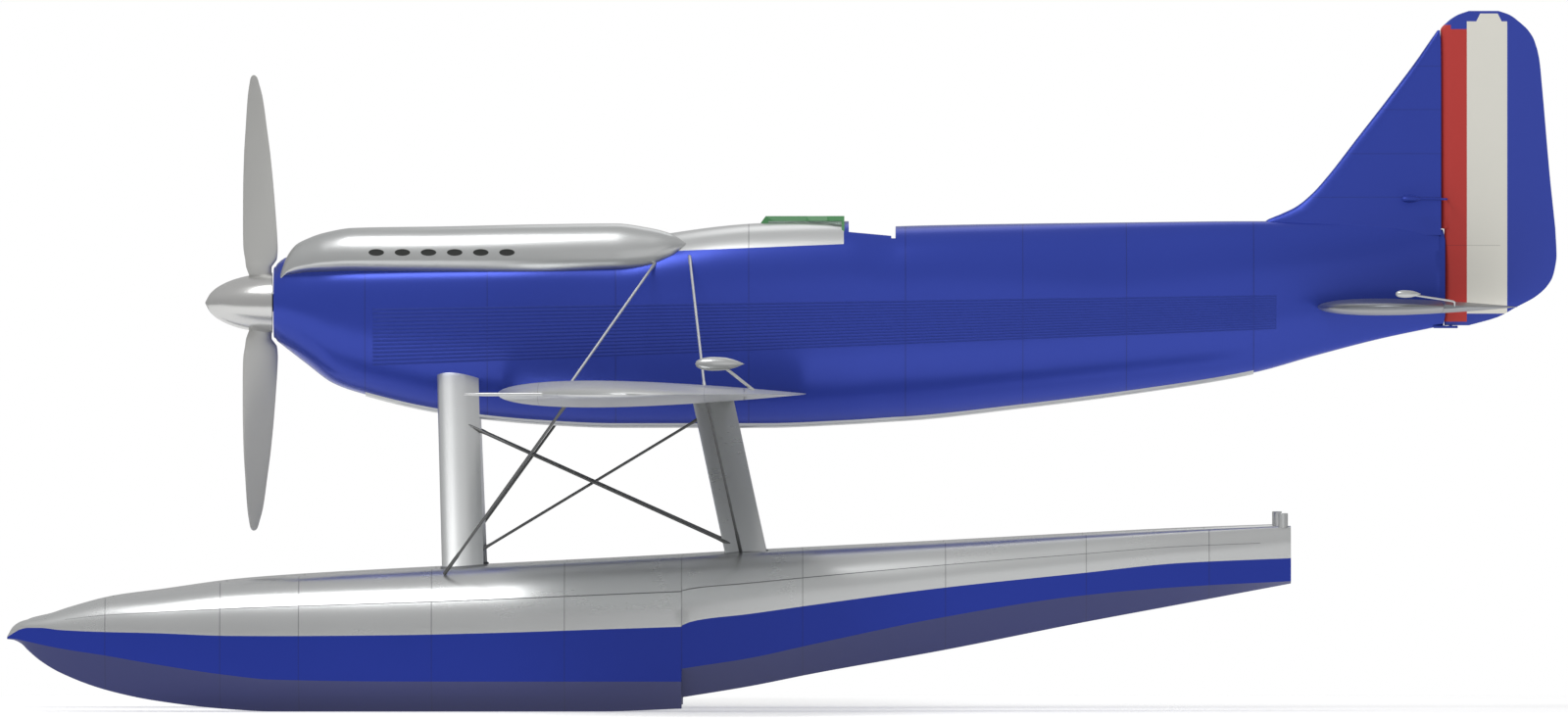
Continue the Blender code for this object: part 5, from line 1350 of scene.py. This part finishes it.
def bucket_rings():
    """Along the profile each point has a direction towards the sitter; the sheet's sides
    lift that way as the fourth power of the distance from the middle."""
    turn = np.linspace(0, math.pi / 2, 12)[1:]
    line = np.concatenate([
        [(4.701, -0.010), (4.704, -0.004), (4.710, -0.001)],
        [(station, 0) for station in spaced(PAN_START, BACK_STATION - BEND, 12)],
        np.stack([BACK_STATION - BEND + BEND * np.sin(turn), BEND - BEND * np.cos(turn)], axis=1),
        [(BACK_STATION, rise) for rise in spaced(BEND, SEAT_TOP, 20)[1:]]])
    along = unit(np.gradient(line, axis=0))
    share = spaced(-1, 1, 31)
    half = np.interp(line[:, 1:], [0.0, 0.35, SEAT_TOP], [0.188, 0.178, 0.120])
    grids = []
    for inset in (0.0, SEAT_SHEET):
        lift = 0.030 * share**4 + inset
        grids.append(grid_of(x_of(line[:, :1]) - along[:, 1:] * lift, half * share,
                             PAN_LEVEL - SEAT_SHEET + line[:, 1:] + along[:, :1] * lift))
    return np.concatenate([grids[0], grids[1][:, ::-1]], axis=1)


solid("seat_bucket", bucket_rings(), "cabin_green", stands_for="pilot_seat")
tubes = []
for y in (-TUBE_OUT, TUBE_OUT):
    legs = [((s0, y, FLOOR_TOP), (s1, y, TUBE_UNDER))
            for s0, s1 in ((FRONT_LEG, FRONT_LEG), (REAR_LEG, REAR_LEG), (FRONT_LEG, REAR_LEG))]
    legs.append(((4.74, y, FLOOR_TOP + 0.009), (5.0, y, FLOOR_TOP + 0.009)))
    tubes += [tube_rings(placed(leg), 0.009) for leg in legs]
for station in (FRONT_LEG, REAR_LEG):
    tubes.append(tube_rings(placed([(station, y, TUBE_UNDER - 0.03) for y in (-TUBE_OUT, TUBE_OUT)]), 0.008))
several("seat_frame", tubes, "wire_steel")
print("seat tubes:", len(tubes))

# %% [markdown]
# Two leather pads lie in the bucket. Each starts as a flat rounded block, is blown up by a
# cloth simulation whose reach is capped, and then gets its sewn channels and a piped edge.
# The face that rests on the sheet stays flat.

# %% Blowing up and quilting a pad
PUFF_FRAMES, PUFF_CAP = 20, 0.007


def mesh_points(thing):
    """A mesh's points as one array."""
    points = np.empty(len(thing.data.vertices) * 3)
    thing.data.vertices.foreach_get("co", points)
    return points.reshape(-1, 3)


def swollen(thing):
    """Blows a closed mesh up as cloth; no point goes further than the cap."""
    before = mesh_points(thing)
    puff = thing.modifiers.new("puff", "CLOTH").settings
    puff.use_pressure, puff.uniform_pressure_force, puff.effector_weights.gravity = True, 4.0, 0.0
    for number in range(1, PUFF_FRAMES + 1):
        bpy.context.scene.frame_set(number)
    bake(thing)
    bpy.context.scene.frame_set(1)
    move = mesh_points(thing) - before
    far = np.linalg.norm(move, axis=1)
    return before + move * np.minimum(1.0, PUFF_CAP / np.maximum(far, 1e-9))[:, None]


def leather_pad(name, corners, thin, rest, channels):
    """A pad between two corners. It rests at a level across its thin axis, and channels run
    the long way at given distances from the middle."""
    low, high = placed(corners)
    block = bmesh.new()
    bmesh.ops.create_cube(block, size=1.0)
    bmesh.ops.scale(block, vec=tuple(high - low), verts=block.verts)
    bmesh.ops.translate(block, vec=tuple((high + low) / 2), verts=block.verts)
    bmesh.ops.bevel(block, geom=block.edges, offset=0.009, segments=4, affect="EDGES", profile=0.5)
    mesh = bpy.data.meshes.new(name)
    block.to_mesh(mesh)
    block.free()
    mesh.materials.append(PAINT["leather"])
    pad = added(name, mesh)
    voxels = pad.modifiers.new("voxels", "REMESH")
    voxels.mode, voxels.voxel_size = "VOXEL", 0.005
    bake(pad)
    points = swollen(pad)
    sitter = np.sign((low + high)[thin] / 2 - rest)
    depth = (points[:, thin] - rest) * sitter
    for place in channels:
        groove = np.exp(-((points[:, 1] - place) / 0.007) ** 2)
        depth = depth - 0.006 * groove * np.clip(depth / 0.02, 0, 1)
    points[:, thin] = rest + sitter * np.maximum(depth, 0.0004)
    pad.data.vertices.foreach_set("co", points.ravel())
    finer = pad.modifiers.new("finer", "SUBSURF")
    finer.levels = finer.render_levels = 1
    bake(pad)
    settle(pad, "airframe", "pilot_seat", 80.0)
    piping(f"{name}_piping", points, thin)


print("reach of a pad's swelling:", PUFF_CAP, "m")

# %% Piped edge and the two pads
def closed_tube(name, path, radius, sides, paint):
    """A tube along a closed path; its last ring is joined to its first."""
    rings = tube_rings(np.concatenate([path[-1:], path, path[:1]]), radius, sides)[1:-1]
    piece(name, *joined([rings], caps=False, ring=True), paint)


def piping(name, points, thin):
    """A cord of leather round the pad's edge: in each of many directions the farthest point
    of the pad's middle layer, evened out with its neighbours."""
    wide = [axis for axis in range(3) if axis != thin]
    middle = (points.max(axis=0) + points.min(axis=0)) / 2
    flat = points[np.abs(points[:, thin] - middle[thin]) < 0.006][:, wide] - middle[wide]
    reach = (points.max(axis=0) - points.min(axis=0))[wide] / 2
    turn = spaced(-math.pi, math.pi, 97)[:-1]
    slice_of = np.digitize(np.arctan2(flat[:, 1] / reach[1], flat[:, 0] / reach[0]), turn) - 1
    best = np.zeros(len(turn))
    np.maximum.at(best, slice_of, np.linalg.norm(flat, axis=1))
    best = (np.roll(best, 1) + 2 * best + np.roll(best, -1)) / 4
    path = np.full((len(turn), 3), middle)
    path[:, wide] += unit(np.stack([np.cos(turn), np.sin(turn)], axis=1) * reach) * best[:, None]
    closed_tube(name, path, 0.0032, 8, "leather")


leather_pad("seat_cushion", [(4.730, -0.150, PAN_LEVEL + 0.002), (4.960, 0.150, PAN_LEVEL + 0.026)], 2, PAN_LEVEL,
            (-0.075, 0.0, 0.075))
leather_pad("back_cushion", [(4.998, -0.140, PAN_LEVEL + 0.075), (5.022, 0.140, PAN_LEVEL + 0.480)], 0,
            x_of(BACK_STATION) - 0.0025, (-0.07, 0.0, 0.07))
print("pads swollen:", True)

# %% [markdown]
# The panel carries five round dials with plain marks, the column a ring grip and a boot
# of folds. A rubber bead lines the opening just under its edge.

# %% Dials
# distance out, height, radius
DIALS = ((-0.075, 2.585, 0.040), (0.075, 2.585, 0.040), (-0.165, 2.53, 0.028), (0.165, 2.53, 0.028), (0.0, 2.50, 0.030))
PANEL_STATION = 4.2843


def needle_box(y, z, angle, inner, outer, half):
    """A flat bar along a radius, standing half a millimetre proud of the dial's face."""
    along, side = np.array([(math.sin(angle), math.cos(angle)), (math.cos(angle), -math.sin(angle))])
    corners = [along * inner - side * half, along * outer - side * half / 2, along * outer + side * half / 2,
               along * inner + side * half]
    return [placed([(PANEL_STATION + depth, y + c[0], z + c[1]) for c in corners]) for depth in (0.0045, 0.0055)]


needles = []
for number, (y, z, radius) in enumerate(DIALS):
    profile = [(0, radius), (0.009, radius), (0.011, radius * 0.97), (0.011, radius * 0.90), (0.005, radius * 0.88)]
    rings = turned_along(PANEL_STATION, y, z, profile, 40)
    solid(f"dial_{number + 1}", rings, ["dark_rubber", "dial_black"], face_paint=[0] * (40 * len(profile) - 39) + [1])
    needles += [needle_box(y, z, turn, radius * 0.66, radius * 0.80, radius * 0.025)
                for turn in np.radians(range(-135, 136, 27))]
    needles.append(needle_box(y, z, math.radians(-100 + 47 * number), -radius * 0.16, radius * 0.60, radius * 0.05))
several("dial_marks", needles, "dial_white")
print("dials:", len(DIALS))

# %% Column and sill bead
COLUMN_FOOT, GRIP_MIDDLE, GRIP_RADIUS = *placed([(4.56, 0, FLOOR_TOP), (4.596, 0, 2.245)]), 0.045
along = unit(GRIP_MIDDLE - COLUMN_FOOT)
folds = [(0.010 + 0.006 * k, 0.034 - 0.003 * k if k % 2 else 0.038 - 0.003 * k) for k in range(5)]
solid("column_boot", turned(COLUMN_FOOT, GRIP_MIDDLE, [(0, 0.036), (0.004, 0.040), *folds, (0.040, 0.0125)]),
      "dark_rubber")
solid("column_tube", turned(COLUMN_FOOT + along * 0.002, GRIP_MIDDLE, [(0, 0.0118), (0.325, 0.0118), (0.335, 0.0095)],
                            24), "wire_steel", stands_for="control_column")
turn = circle(48)[:, None]
closed_tube("column_grip", GRIP_MIDDLE + GRIP_RADIUS * (np.sin(turn) * (0, 1.0, 0) - np.cos(turn) * along), 0.0095,
            14, "dark_rubber")

at = spaced(4.766, 5.000, 20)
edge = body_surface(at, parting_turn(at, below=0.007)[:, None], -0.008)[:, 0]
for name, side in SIDES:
    solid(f"sill_bead_{name}", tube_rings(edge * (1, side, 1), 0.0045, 10), "dark_rubber")
print("column", round(math.dist(COLUMN_FOOT, GRIP_MIDDLE), 3), "m from foot to grip")
